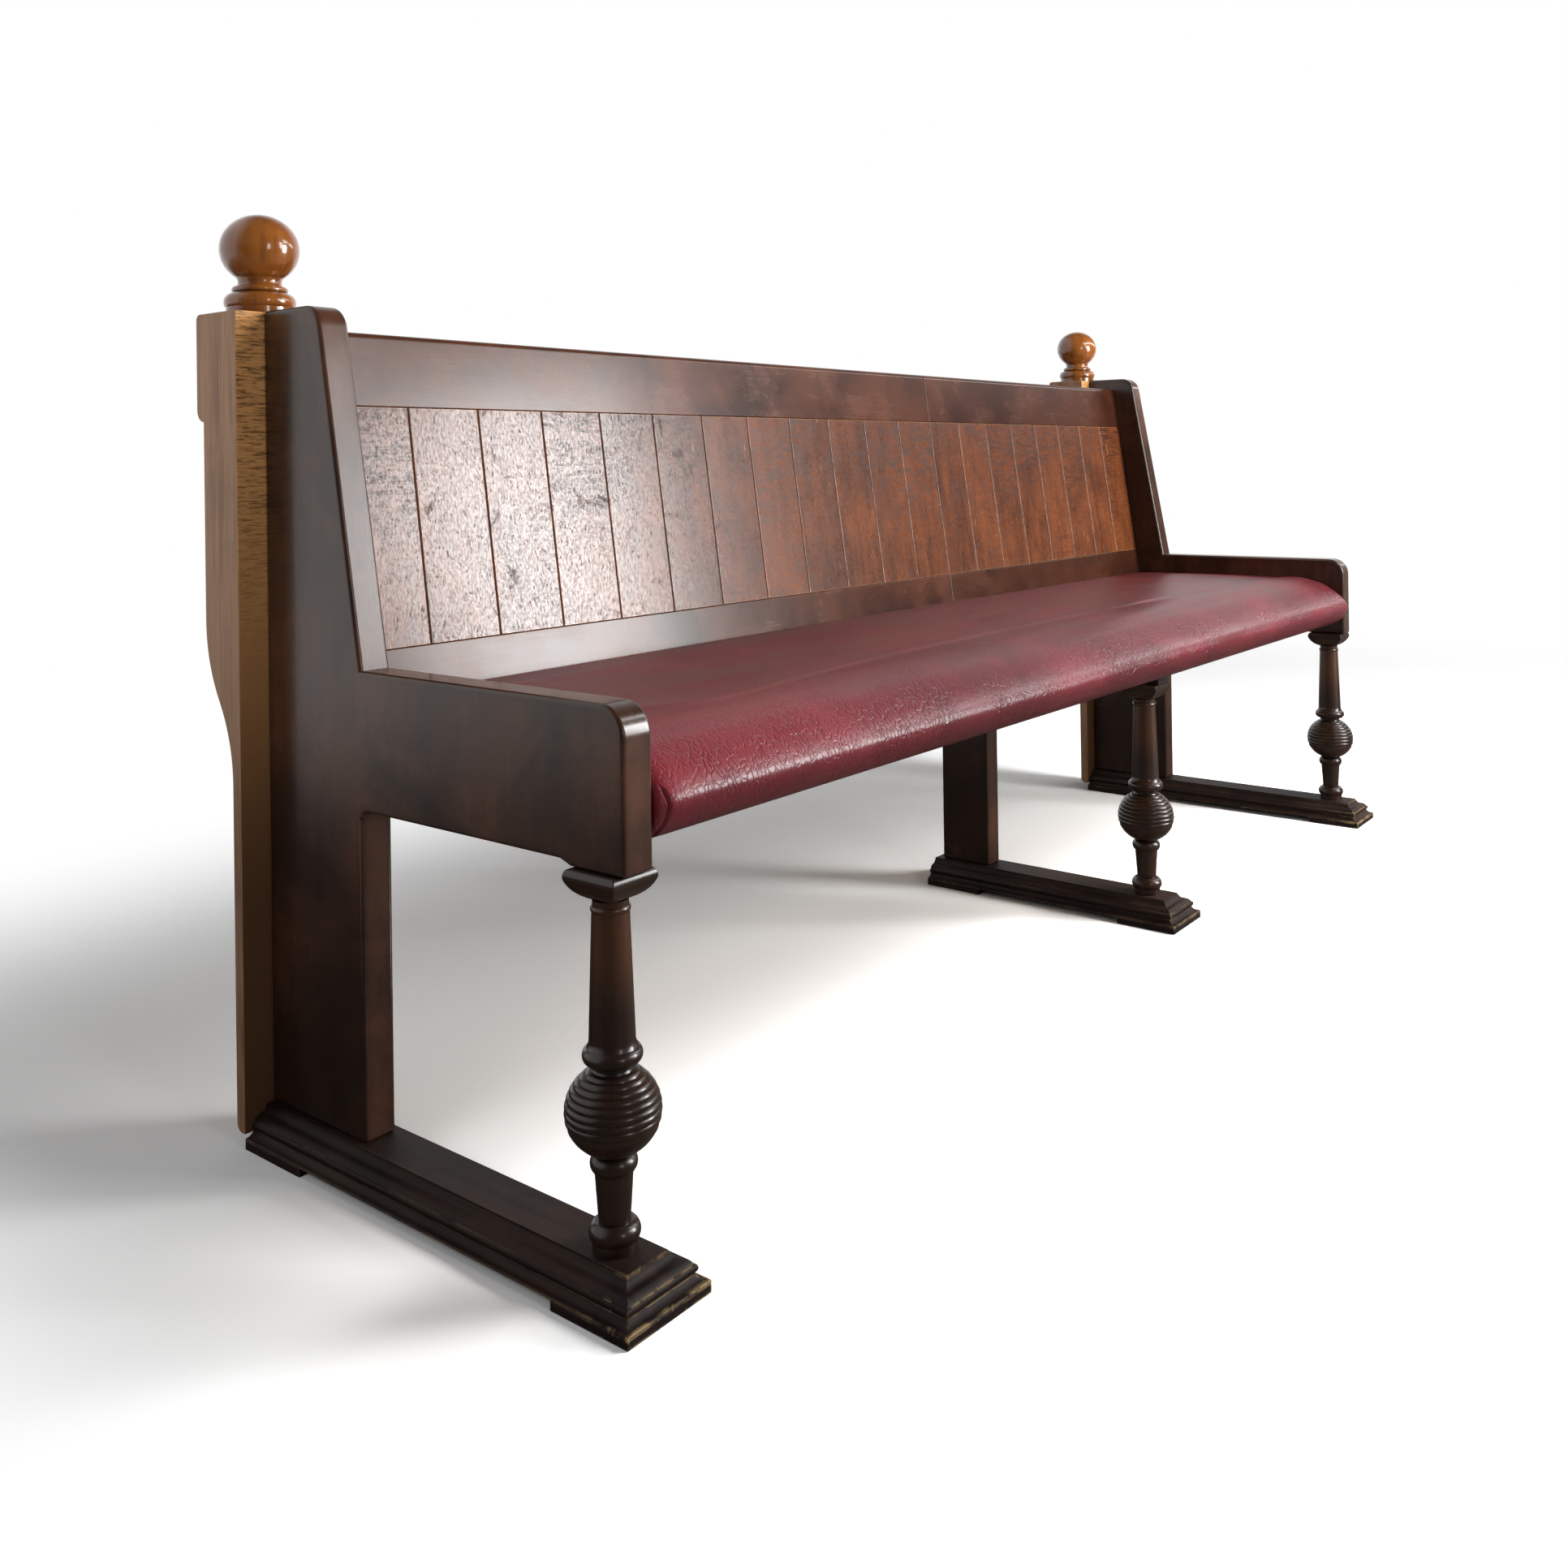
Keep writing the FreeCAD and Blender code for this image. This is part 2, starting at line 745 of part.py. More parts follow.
def build_stand(side, x, front, back, leg_y, upright_screws):
    """Foot with its pads, turned leg and capital. Returns the screws of the pads."""
    pad_front = front - foot_flare
    spans = (("front", pad_front, pad_front + front_pad_length), ("rear", back - rear_pad_length, back))
    fixings = []
    for end, start, stop in spans:
        screws, mouths = pad_fixings(x, (start + stop) / 2)
        save("%s_%s_pad" % (side, end), pad(x, start, stop, screws + mouths))
        fixings += screws
    socket = bore(x, leg_y, foot_height - foot_spigot_depth, foot_height)
    save("%s_foot" % side, foot(x, front, back, [socket] + fixings + upright_screws))
    save("%s_front_leg" % side, leg(x, leg_y))
    save("%s_leg_capital" % side, capital(x, leg_y))
    return fixings


def build_cleat(side, x, inward):
    """Cleat on the inner face of an end panel, under the seat frame. Returns its screws."""
    face = x + inward * panel_thickness / 2
    cleat_face = face + inward * cleat_width
    cleat_z = (arm_underside + seat_frame_bottom) / 2
    screws = [
        screw(Vector(cleat_face, cleat_front + cleat_length * share, cleat_z), Vector(-inward, 0, 0),
              cleat_width + screw_bite)
        for share in cleat_screw_shares
    ]
    across = (min(face, cleat_face), max(face, cleat_face))
    cleat = block(*across, cleat_front, cleat_front + cleat_length, arm_underside, seat_frame_bottom)
    save("%s_seat_cleat" % side, cleat.cut(screws))
    return screws


def build_end_frame(side, x, inward):
    """Panel, post, finial, cleat and stand of one end. Returns its short and long screws."""
    upright_screws = upright_fixings(x, upright_y, panel_depth)
    post_screws = post_fixings(x)
    cleat_screws = build_cleat(side, x, inward)
    save("%s_end_panel" % side, end_panel(x, upright_screws + post_screws + cleat_screws))
    save("%s_rear_post" % side, rear_post(x, post_screws))
    save("%s_finial" % side, finial(x))
    pad_screws = build_stand(side, x, -foot_front_overhang, panel_depth, leg_setback, upright_screws)
    return pad_screws + cleat_screws, upright_screws + post_screws


def build_middle_frame():
    """Plain upright, bearer and stand under the seat. Returns its short and long screws."""
    leg_y = leg_setback + centre_setback
    upright_back = centre_upright_setback + centre_upright_width
    across = (centre_x - panel_thickness / 2, centre_x + panel_thickness / 2)
    upright_screws = upright_fixings(centre_x, centre_upright_setback, upright_back)
    plank = block(*across, centre_upright_setback, upright_back, foot_height, boss_bottom)
    save("centre_upright", plank.cut(upright_screws))
    bearer = block(*across, leg_y - capital_depth / 2, upright_back, boss_bottom, seat_frame_bottom)
    save("centre_bearer", bearer.cut(bore(centre_x, leg_y, boss_bottom, boss_bottom + spigot_depth)))
    foot_front = centre_setback - foot_front_overhang
    foot_back = upright_back + centre_foot_tail
    return build_stand("centre", centre_x, foot_front, foot_back, leg_y, upright_screws), upright_screws


def build_frames():
    """Both end frames and the middle frame. Returns their short screws."""
    short_screws = []
    long_screws = []
    frames = (
        build_end_frame("left", -panel_x, 1),
        build_middle_frame(),
        build_end_frame("right", panel_x, -1),
    )
    for short, long in frames:
        short_screws += short
        long_screws += long
    save("long_screws", Part.makeCompound(long_screws))
    return short_screws


def build_back():
    """Rails, boards, battens and stile. Returns the screws of the battens and the stile."""
    forward = Vector(0, -1, 0)
    halves = (("left", -inner_x, centre_x, left_board_count), ("right", centre_x, inner_x, right_board_count))
    batten_starts = (board_base + batten_margin, board_head - batten_margin - batten_height)
    batten_screws = []
    board_number = 0
    stile_rear = rail_thickness + stile_thickness
    stile_screws = [
        screw(Vector(centre_x + side * stile_width / 4, stile_rear, z), forward, stile_thickness + screw_bite)
        for side in (-1, 1)
        for z in (board_base / 2, board_head + top_rail_height / 2)
    ]
    board_screw_length = rail_thickness - board_thickness + board_thickness * board_screw_share
    for side, x0, x1, count in halves:
        width = (x1 - x0) / count
        for number in range(count):
            board_number += 1
            board_x0 = x0 + width * number
            screws = [
                screw(Vector(board_x0 + width / 2, rail_thickness, z + batten_height / 2), forward,
                      board_screw_length)
                for z in batten_starts
            ]
            batten_screws += screws
            piece = board(board_x0, board_x0 + width, number == 0, number == count - 1, screws)
            save("back_board_%02d" % board_number, piece)
        save("%s_top_rail" % side, top_rail(x0, x1, centre_x, stile_screws))
        save("%s_bottom_rail" % side, bottom_rail(x0, x1, centre_x, stile_screws))
    save("lower_batten", batten(batten_starts[0], batten_screws))
    save("upper_batten", batten(batten_starts[1], batten_screws))
    save("centre_stile", stile(stile_screws))
    return [leaned(piece) for piece in batten_screws + stile_screws]


def build_seat():
    """Seat frame, plywood panel and the cushion on them."""
    frame = (seat_frame_bottom, seat_panel_bottom)
    front_end = seat_front + seat_rail_width
    rear_start = back_rear_y - seat_rail_width
    save("seat_front_rail", block(-inner_x, inner_x, seat_front, front_end, *frame))
    save("seat_rear_rail", block(-inner_x, inner_x, rear_start, back_rear_y, *frame))
    half_width = cross_rail_width / 2
    centres = (half_width - inner_x, centre_x, inner_x - half_width)
    cross_rails = [block(x - half_width, x + half_width, front_end, rear_start, *frame) for x in centres]
    save("seat_cross_rails", Part.makeCompound(cross_rails))
    save("seat_panel", block(-inner_x, inner_x, seat_front, back_rear_y, seat_panel_bottom, seat_top))
    save("seat_cushion", seat_cushion())


os.makedirs("parts", exist_ok=True)
short_screws = build_frames() + build_back()
save("short_screws", Part.makeCompound(short_screws))
build_seat()
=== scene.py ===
import math
from typing import NamedTuple

import bmesh
import bpy
from bpy.props import FloatProperty, FloatVectorProperty, IntProperty, PointerProperty
from mathutils import Matrix, Vector, noise


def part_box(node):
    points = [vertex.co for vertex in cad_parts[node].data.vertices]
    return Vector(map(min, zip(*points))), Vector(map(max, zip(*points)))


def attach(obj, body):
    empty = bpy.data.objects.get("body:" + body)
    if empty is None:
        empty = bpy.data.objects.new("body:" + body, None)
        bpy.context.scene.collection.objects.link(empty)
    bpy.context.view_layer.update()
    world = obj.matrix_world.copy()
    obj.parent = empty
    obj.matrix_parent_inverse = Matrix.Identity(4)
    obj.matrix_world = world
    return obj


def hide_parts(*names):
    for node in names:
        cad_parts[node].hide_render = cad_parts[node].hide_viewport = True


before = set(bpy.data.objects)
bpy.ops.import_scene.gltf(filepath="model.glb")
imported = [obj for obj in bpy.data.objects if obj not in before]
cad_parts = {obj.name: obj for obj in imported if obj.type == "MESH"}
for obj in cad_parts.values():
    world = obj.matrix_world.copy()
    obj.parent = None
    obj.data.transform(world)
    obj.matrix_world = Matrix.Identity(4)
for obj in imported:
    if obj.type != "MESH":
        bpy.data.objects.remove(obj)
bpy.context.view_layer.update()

bl_info = {
    "name": "Brasserie bench",
    "version": (1, 0, 0),
    "blender": (4, 5, 0),
    "location": "3D View > Sidebar > Bench",
    "description": "Dresses a panelled brasserie bench: stained wood, turned legs, vinyl seat and studio",
    "category": "Object",
}

BODY = "root"
SIDES = ("left", "centre", "right")
ENDS = ("left", "right")
LEFT_BOARDS = tuple("back_board_%02d" % number for number in range(1, 13))
RIGHT_BOARDS = tuple("back_board_%02d" % number for number in range(13, 21))


# Lamps: name, place, target, width, height and whether gloss mirrors them
LAMPS = (
    ("window", (1.38, -2.20, 1.08), (-0.75, 0.22, 0.72), 0.75, 1.26, True),
    ("side", (0.76, -2.60, 1.60), (-1.05, 0.10, 0.75), 0.5, 1.1, True),
    ("left", (-3.20, -0.40, 1.90), (-1.09, 0.00, 0.70), 1.2, 1.2, False),
    ("strip", (3.30, -1.30, 2.00), (3.30, -0.30, 0.45), 5.6, 0.35, True),
    ("sky", (0.90, -2.10, 2.70), (-0.30, 0.00, 0.20), 1.2, 1.0, False),
    ("fill", (-1.30, -3.00, 1.20), (0.30, 0.20, 0.70), 0.5, 1.0, True),
)

# Bright sides of the studio: their direction, and how near to it the light starts and is full
BACKDROP = (0.786, 0.618, 0.0), 0.45, 0.95
LEFT_WALL = (-0.53, 0.79, 0.30), 0.45, 0.85

# Floor: where it starts to turn white and where it is white, far off, behind and past the left end
FLOOR_FAR = 2.0, 4.2
FLOOR_REAR = 0.6, 1.7
FLOOR_LEFT = -1.20, -1.60
FLOOR_RADIUS = 60
FLOOR_SIDES = 96
WHITE = (1, 1, 1, 1)

# Camera: its place, two of its axes, its sensor and its small sideways shift
CAMERA_PLACE = (-1.93665, -1.18272, 0.7489)
CAMERA_RIGHT = (0.61825, -0.78586, -0.01391)
CAMERA_UP = (0.00553, -0.01334, 0.99990)
SENSOR_WIDTH = 36
LENS_ASIDE = -0.0004

# Meshes: angles that part faces, the form of a rounded arris, and how much larger a flat is than a facet
SAME_PLANE = math.radians(0.6)
CREASE = math.radians(30)
SMOOTH_BELOW = math.radians(40)
SCREW_SMOOTH_BELOW = math.radians(35)
ARRIS_STEPS = 3
ROUND = 0.5
FLAT_SHARE = 4
SAME_POINT = 1e-6
FLAT = "flat"

# Finishes: the boards' own attribute, a pattern's plain scale, and the slant of a face that looks sideways
BOARD_TONE = "board_tone"
UNDRAWN = (1, 1, 1)
SIDEWAYS = 0.4, 0.8

# Screws: sides of the head and the shank, the slot, and how far from the tip the head's rim lies
HEAD_SIDES = 20
SHANK_SIDES = 10
SCREW_SLOT = (0.012, 0.0011, 0.0024)
RIM_SHARE = 0.998

# Cushion: rounds of smoothing, and the bands in which the cover passes from held to free
GRID_ROUNDS = 2
NOSE_ROUNDS = 14
SHOULDER_ROUNDS = 60
SMOOTHING = 0.5
END_MARGIN = 0.5
END_HOLD = 0.05
REAR_HOLD = 0.06
UNDER_HOLD = 0.02
FRONT_DEPTH = 0.06
FRONT_HOLD = 0.03

# Cloth: frames, pressure and stiffness, and the scale of the swell's slow change
CLOTH_FRAMES = 20
PRESSURE = 4
TENSION = 25
BENDING = 2
SWELL_SCALE = 6

# Tucks: bands in which they fade, their bow, how far the corner past them is pressed in, and finer cuts
TUCK_FADE = 0.012
TUCK_REACH = 0.07
TUCK_REACH_FADE = 0.02
TUCK_BOW = 0.003
TUCK_BOW_TURN = 40
TUCK_PRESS = 0.4
TUCK_BAND = 2
TUCK_CUTS = 2


def measure(name, words, metres):
    """Length property with its default."""
    return FloatProperty(name=name, description=words, default=metres, unit="LENGTH")


def wattage(name, words, watts):
    """Lamp's power property with its default."""
    return FloatProperty(name=name, description=words, default=watts, unit="POWER")


def tint(name, words, red, green, blue):
    """Colour property with its linear default."""
    return FloatVectorProperty(
        name=name, description=words, subtype="COLOR", size=4, min=0, max=1, default=(red, green, blue, 1))


class BenchSizes(bpy.types.PropertyGroup):
    """Sizes that the dressing adds to the bench."""

    arris: measure("Arris", "Rounding of the sawn arrises", 0.0012)
    panel_arris: measure("Panel arris", "Rounding of the end panels", 0.0032)
    moulding_arris: measure("Moulding arris", "Rounding on the feet's mouldings", 0.0005)
    board_arris: measure("Board arris", "Rounding of the back boards", 0.0022)
    board_length: measure("Board length", "Length of a back board between the rails", 0.276)
    board_thickness: measure("Board thickness", "Thickness of a back board", 0.018)
    rail_thickness: measure("Rail thickness", "Thickness of the back's rails", 0.028)
    rail_height: measure("Bottom rail height", "Height of the back's bottom rail", 0.106)
    back_lean: FloatProperty(
        name="Back lean", description="Lean of the back", default=math.radians(8), subtype="ANGLE")
    seat_voxel: measure("Seat voxel", "Mesh size of the seat before it is filled", 0.007)
    seat_slack: measure("Seat slack", "How far the cover starts inside its shape", 0.006)
    seat_swell: measure("Seat swell", "Furthest that the cover fills past its shape", 0.004)
    seat_drift: measure("Seat drift", "Furthest that the cover slips sideways", 0.002)
    seat_clearance: measure("Seat clearance", "Room between the cover and the wood", 0.0006)
    nose_depth: measure("Nose depth", "How far back the nose is rounded", 0.075)
    nose_fade: measure("Nose fade", "How softly the rounding ends", 0.030)
    nose_pad: measure("Nose pad", "Padding put back on the rounded nose", 0.0025)
    shoulder_depth: measure("Shoulder depth", "From the nose back to the shoulder", 0.139)
    shoulder_spread: measure("Shoulder spread", "Half width of the rounded shoulder", 0.080)
    lip_height: measure("Lip height", "Height of the tight lip under the nose", 0.018)
    tuck_inset: measure("Tuck inset", "From the cover's end to its tuck", 0.007)
    tuck_width: measure("Tuck width", "Half width of a tuck", 0.0016)
    tuck_depth: measure("Tuck depth", "Depth of a tuck", 0.0035)
    tuck_top: measure("Tuck top", "Height at which a tuck starts", 0.463)
    chip: FloatVectorProperty(
        name="Chip", description="Place of the chip in the vinyl", default=(-0.772, -0.283, 0.411),
        subtype="TRANSLATION", unit="LENGTH")
    screw_head: measure("Screw head", "Radius of a screw's head", 0.0046)
    screw_shank: measure("Screw shank", "Radius of a screw's shank", 0.0024)
    screw_seed: IntProperty(
        name="Screw seed", description="Seed for the turn of the screws' slots", default=4)
    board_seed: IntProperty(
        name="Board seed", description="Seed for the tone of the boards", default=7)


class BenchColours(bpy.types.PropertyGroup):
    """Stains, vinyl and metal."""

    panel_dark: tint("Panel, dark", "Deep stain of the end frames", 0.0115, 0.0055, 0.0038)
    panel_light: tint("Panel, light", "Thin stain of the end frames", 0.095, 0.036, 0.018)
    rail_dark: tint("Rail, dark", "Deep stain of the rails", 0.028, 0.009, 0.005)
    rail_light: tint("Rail, light", "Thin stain of the rails", 0.085, 0.025, 0.0105)
    board_dark: tint("Board, dark", "Deep stain of the boards", 0.040, 0.0115, 0.0055)
    board_light: tint("Board, light", "Thin stain of the boards", 0.190, 0.055, 0.0165)
    # Worn arrises, whose pale golden colour is partly a painted glint where they catch the light
    arris_wear_and_glint: tint("Groove", "Rubbed arrises of the boards", 0.470, 0.250, 0.115)
    post_dark: tint("Post, dark", "Deep stain of the posts", 0.090, 0.040, 0.017)
    post_light: tint("Post, light", "Thin stain of the posts", 0.500, 0.275, 0.155)
    post_gold: tint("Post, gold", "Golden front of the posts", 0.720, 0.350, 0.120)
    finial_dark: tint("Finial, dark", "Deep stain of the finials", 0.085, 0.022, 0.005)
    finial_light: tint("Finial, light", "Thin stain of the finials", 0.310, 0.098, 0.015)
    leg_dark: tint("Leg, dark", "Deep stain of the legs", 0.010, 0.0046, 0.0028)
    leg_light: tint("Leg, light", "Thin stain of the legs", 0.027, 0.0100, 0.0040)
    # Warm stain with a painted sheen on the legs' shafts
    shaft_stain_and_sheen: tint("Leg, glow", "Warm stain on the legs' shafts", 0.070, 0.0230, 0.0070)
    foot_dark: tint("Foot, dark", "Deep stain of the feet", 0.0085, 0.0048, 0.0043)
    foot_light: tint("Foot, light", "Thin stain of the feet", 0.0250, 0.0130, 0.0105)
    raw_wood: tint("Raw wood", "Bare wood where the stain is worn", 0.430, 0.300, 0.140)
    sawn_dark: tint("Sawn wood, dark", "Late wood of the sawn softwood", 0.270, 0.155, 0.072)
    sawn_light: tint("Sawn wood, light", "Early wood of the sawn softwood", 0.480, 0.330, 0.185)
    # Also the painted shade where the cover turns under
    vinyl_dark: tint("Vinyl, dark", "Folds of the vinyl", 0.070, 0.0060, 0.0100)
    vinyl_light: tint("Vinyl, light", "Rubbed vinyl", 0.165, 0.0165, 0.024)
    vinyl_worn: tint("Vinyl, worn", "Vinyl browned by use", 0.105, 0.040, 0.033)
    # Painted light on the slope to the nose
    vinyl_painted_light: tint("Vinyl, bright", "Vinyl on the slope to the nose", 0.270, 0.028, 0.038)
    vinyl_back: tint("Vinyl backing", "Cloth under the vinyl where it is chipped", 0.620, 0.480, 0.460)
    zinc: tint("Zinc", "Screws", 0.520, 0.500, 0.460)
    floor: tint("Floor", "Studio floor", 0.800, 0.800, 0.800)
    floor_gloss: tint("Floor in gloss", "Studio floor as gloss mirrors it", 0.100, 0.090, 0.080)


class BenchStudio(bpy.types.PropertyGroup):
    """Lamps and camera."""

    window: wattage("Window", "Power of the tall soft window", 75)
    side: wattage("Side", "Power of the window beside it", 15)
    left: wattage("Left", "Power of the light past the left end", 13)
    strip: wattage("Strip", "Power of the long strip over the seat", 46)
    sky: wattage("Sky", "Power of the high front light", 70)
    fill: wattage("Fill", "Power of the small front light", 9)
    ambient: FloatProperty(name="Ambient", description="Strength of the studio's own light", default=0.16)
    room: FloatProperty(name="Room", description="How bright the room is in gloss", default=0.07)
    wall: FloatProperty(name="Wall", description="How bright the wall on the left is in gloss", default=1.0)
    floor_lift: FloatProperty(
        name="Floor lift", description="How pale the floor looks to the camera", default=1.3)
    lens: FloatProperty(name="Lens", description="Focal length on a 36 mm sensor", default=32.23)
    lens_rise: FloatProperty(
        name="Lens rise", description="Upward shift that keeps uprights upright", default=-0.2078)


class Pattern(NamedTuple):
    """A noise: its scale, detail, roughness and distortion, and how it is scaled along each axis."""

    scale: float
    detail: float = 4.0
    roughness: float = 0.55
    distortion: float = 0.0
    drawn: tuple = UNDRAWN

    def along(self, axis, share):
        """The same noise, drawn out along one axis."""
        return self._replace(drawn=tuple(share if name == axis else 1 for name in "xyz"))


STREAKS = Pattern(70, 5, 0.6, 0.3)
PORES = Pattern(420, 3, 0.6)
CLOUDS = Pattern(5.5, 4, 0.6, 0.4)
CHIPS = Pattern(95, 5, 0.7)
RIPPLE = Pattern(26, 2)
BOARD_STREAKS = Pattern(62, 5, 0.62, 0.5, (1, 1, 0.07))
BOARD_PORES = Pattern(460, 3, 0.65, 0, (1, 1, 0.05))
BOARD_FLAMES = Pattern(56, 3, 0.55, 1.6, (0.50, 1, 2.6))
BOARD_CLOUDS = Pattern(7, 5, 0.62, 0.8)
BOARD_FIGURE = Pattern(4.2, 2)
BOARD_FIBRES = Pattern(700, 2, 0.6, 0, (1, 1, 0.22))
BOARD_SMUDGES = Pattern(20, 6, 0.76, 0.6)
BOARD_SPECKS = Pattern(190, 4, 0.7, 0, (1.6, 1, 0.7))
BOARD_SCRATCHES = Pattern(150, 2, 0.5, 0, (1, 1, 0.016))
BOARD_DENTS = Pattern(75, 3, 0.7, 1.0, (1.5, 1, 0.6))
BOARD_GRIT = Pattern(300, 5, 0.8, 0, (1.3, 1, 0.6))
RAIL_PATCHES = Pattern(12, 6, 0.62, 0.3, (0.60, 1, 1))
POST_FLECKS = Pattern(230, 4, 0.7, 0.5, (0.22, 1, 2.4))
FINIAL_RIPPLE = Pattern(60, 2)
FOOT_SCUFFS = Pattern(34, 6, 0.72, 0, (1, 0.25, 1))
FOOT_KICKS = Pattern(60, 5, 0.7)
VINYL_CLOUDS = Pattern(6, 4, 0.6, 0.5)
VINYL_RUBBED = Pattern(14, 5, 0.65, 0, (0.35, 1, 1))
VINYL_PATCHES = Pattern(9, 3)
VINYL_SAT = Pattern(11, 6, 0.68, 0.4, (0.22, 1, 1))
VINYL_TEAR = Pattern(220, 3)
ZINC_GRAIN = Pattern(900, 2)
ZINC_CLOUDS = Pattern(120, 3)


class Value:
    """A node's output. Sums, differences and products of it add Math nodes."""

    def __init__(self, graph, socket):
        self.graph = graph
        self.socket = socket

    def math(self, operation, first, second):
        return self.graph.node("ShaderNodeMath", {"operation": operation}, {0: first, 1: second})

    def __add__(self, other):
        return self.math("ADD", self, other)

    __radd__ = __add__

    def __sub__(self, other):
        return self.math("SUBTRACT", self, other)

    def __rsub__(self, other):
        return self.math("SUBTRACT", other, self)

    def __mul__(self, other):
        return self.math("MULTIPLY", self, other)

    __rmul__ = __mul__

    def __abs__(self):
        return self.math("ABSOLUTE", self, 0)


class Graph:
    """A node tree that is filled from expressions."""

    def __init__(self, tree):
        self.tree = tree

    def node(self, kind, settings=None, sockets=None, out=0):
        """Adds a node: its settings first, then the values or links of its sockets."""
        node = self.tree.nodes.new(kind)
        for name, setting in (settings or {}).items():
            setattr(node, name, setting)
        for name, value in (sockets or {}).items():
            if isinstance(value, Value):
                self.tree.links.new(value.socket, node.inputs[name])
            else:
                node.inputs[name].default_value = value
        return Value(self, node.outputs[out]) if node.outputs else node

    def vector(self, **parts):
        """A vector from its parts."""
        return self.node("ShaderNodeCombineXYZ", None, parts)

    def vector_math(self, operation, *vectors, out="Vector"):
        """Vector Math on one or two vectors."""
        return self.node("ShaderNodeVectorMath", {"operation": operation}, dict(enumerate(vectors)), out)

    def step(self, value, low, high):
        """Soft step from 0 to 1 between two values."""
        sockets = {"Value": value, "From Min": low, "From Max": high}
        return self.node("ShaderNodeMapRange", {"interpolation_type": "SMOOTHSTEP"}, sockets)


class Finish(Graph):
    """A material's nodes, with the patterns that the finishes share."""

    def __init__(self, name):
        self.material = bpy.data.materials.new(name)
        self.material.use_nodes = True
        self.material.node_tree.nodes.clear()
        super().__init__(self.material.node_tree)
        self.place = self.node("ShaderNodeTexCoord", out="Object")
        self.normal = self.node("ShaderNodeNewGeometry", out="Normal")

    def stretched(self, vector, scale):
        """Coordinates scaled along each axis."""
        return self.node("ShaderNodeMapping", None, {"Vector": vector, "Scale": scale})

    def noise(self, pattern, place=None):
        """A pattern's noise, on the bench's own coordinates or on shifted ones."""
        vector = place or self.place
        if pattern.drawn != UNDRAWN:
            vector = self.stretched(vector, pattern.drawn)
        sockets = {"Vector": vector, "Scale": pattern.scale, "Detail": pattern.detail,
                   "Roughness": pattern.roughness, "Distortion": pattern.distortion}
        return self.node("ShaderNodeTexNoise", None, sockets)

    def spots(self, low, high, pattern, place=None):
        """Spots where a pattern's noise passes a soft limit."""
        return self.step(self.noise(pattern, place), low, high)

    def along(self, axis, low, high):
        """Soft step from 0 to 1 along one axis of the bench."""
        return self.step(self.part_of(self.place, axis), low, high)

    def sideways(self):
        """Share of the faces that look along the bench."""
        return self.step(abs(self.part_of(self.normal, "X")), *SIDEWAYS)

    def coats(self, base, *layers):
        """Lays colours over a base, each by its share."""
        for share, colour in layers:
            base = self.blend(share, base, colour)
        return base

    def blend(self, share, first, second):
        """The first colour passing into the second by a share."""
        return self.node("ShaderNodeMix", {"data_type": "RGBA"}, {0: share, 6: first, 7: second}, out=2)

    def part_of(self, vector, axis):
        """One part of a vector."""
        return self.node("ShaderNodeSeparateXYZ", None, {0: vector}, out=axis)

    def arrises(self, radius, low=0.03, high=0.22):
        """Share of the rounded arrises: 1 on the arrises and 0 on the flats."""
        round_normal = self.node("ShaderNodeBevel", {"samples": 6}, {"Radius": radius})
        along = self.vector_math("DOT_PRODUCT", round_normal, self.normal, out="Value")
        return self.step(1 - along, low, high)

    def hollows(self, reach):
        """Share of dirt and painted shade: 1 in the hollows and 0 in the open."""
        open_share = self.node("ShaderNodeAmbientOcclusion", {"samples": 6}, {"Distance": reach}, out="AO")
        return 1 - open_share

    def bump(self, height, depth, strength):
        """Normal of a surface raised by a height."""
        sockets = {"Height": height, "Distance": depth, "Strength": strength}
        return self.node("ShaderNodeBump", None, sockets)

    def done(self, base, roughness, normal, **constants):
        """Ends the material in one surface shader. The constants are set on its own sockets."""
        sockets = {"Base Color": base, "Roughness": roughness}
        if normal:
            sockets["Normal"] = normal
        sockets.update({name.replace("_", " "): value for name, value in constants.items()})
        shader = self.node("ShaderNodeBsdfPrincipled", None, sockets)
        self.node("ShaderNodeOutputMaterial", None, {"Surface": shader})
        return self.material


def grained(finish, axis):
    """Streaks and pores along one axis, and clouds of stain."""
    streaks = finish.noise(STREAKS.along(axis, 0.05))
    pores = finish.noise(PORES.along(axis, 0.03))
    return streaks, pores, finish.noise(CLOUDS)


def dark_stain(name, colours):
    """Deep stain under gloss lacquer, thinner in the middle of the flats and rubbed on the arrises, with
    painted shade low down.
    """
    finish = Finish(name)
    dark, light = colours.panel_dark, colours.panel_light
    streaks, pores, clouds = grained(finish, "z")
    edge = finish.arrises(0.024, 0.004, 0.16)
    narrow = 1 - finish.sideways()
    # Painted shade: the panels turn darker towards the bottom
    low = 1 - finish.along("Z", 0.10, 0.50)
    tone = finish.step(streaks * 0.12 + clouds * 0.88, 0.38, 0.66)
    chips = finish.arrises(0.0016, 0.05, 0.30) * finish.spots(0.60, 0.68, CHIPS)
    base = finish.coats(
        dark, (0.12 + tone * 0.80, light), (edge * 0.60, dark), (narrow * 0.15, light),
        (low * (0.65 - narrow * 0.45), dark), (chips * 0.35, colours.raw_wood))
    roughness = 0.17 + pores * 0.10 + clouds * 0.06
    normal = finish.bump(pores * 0.35 + finish.noise(RIPPLE) * 0.65, 0.00035, 0.5)
    return finish.done(
        base, roughness, normal, Specular_IOR_Level=0.42, Coat_Weight=0.22, Coat_Roughness=0.10)


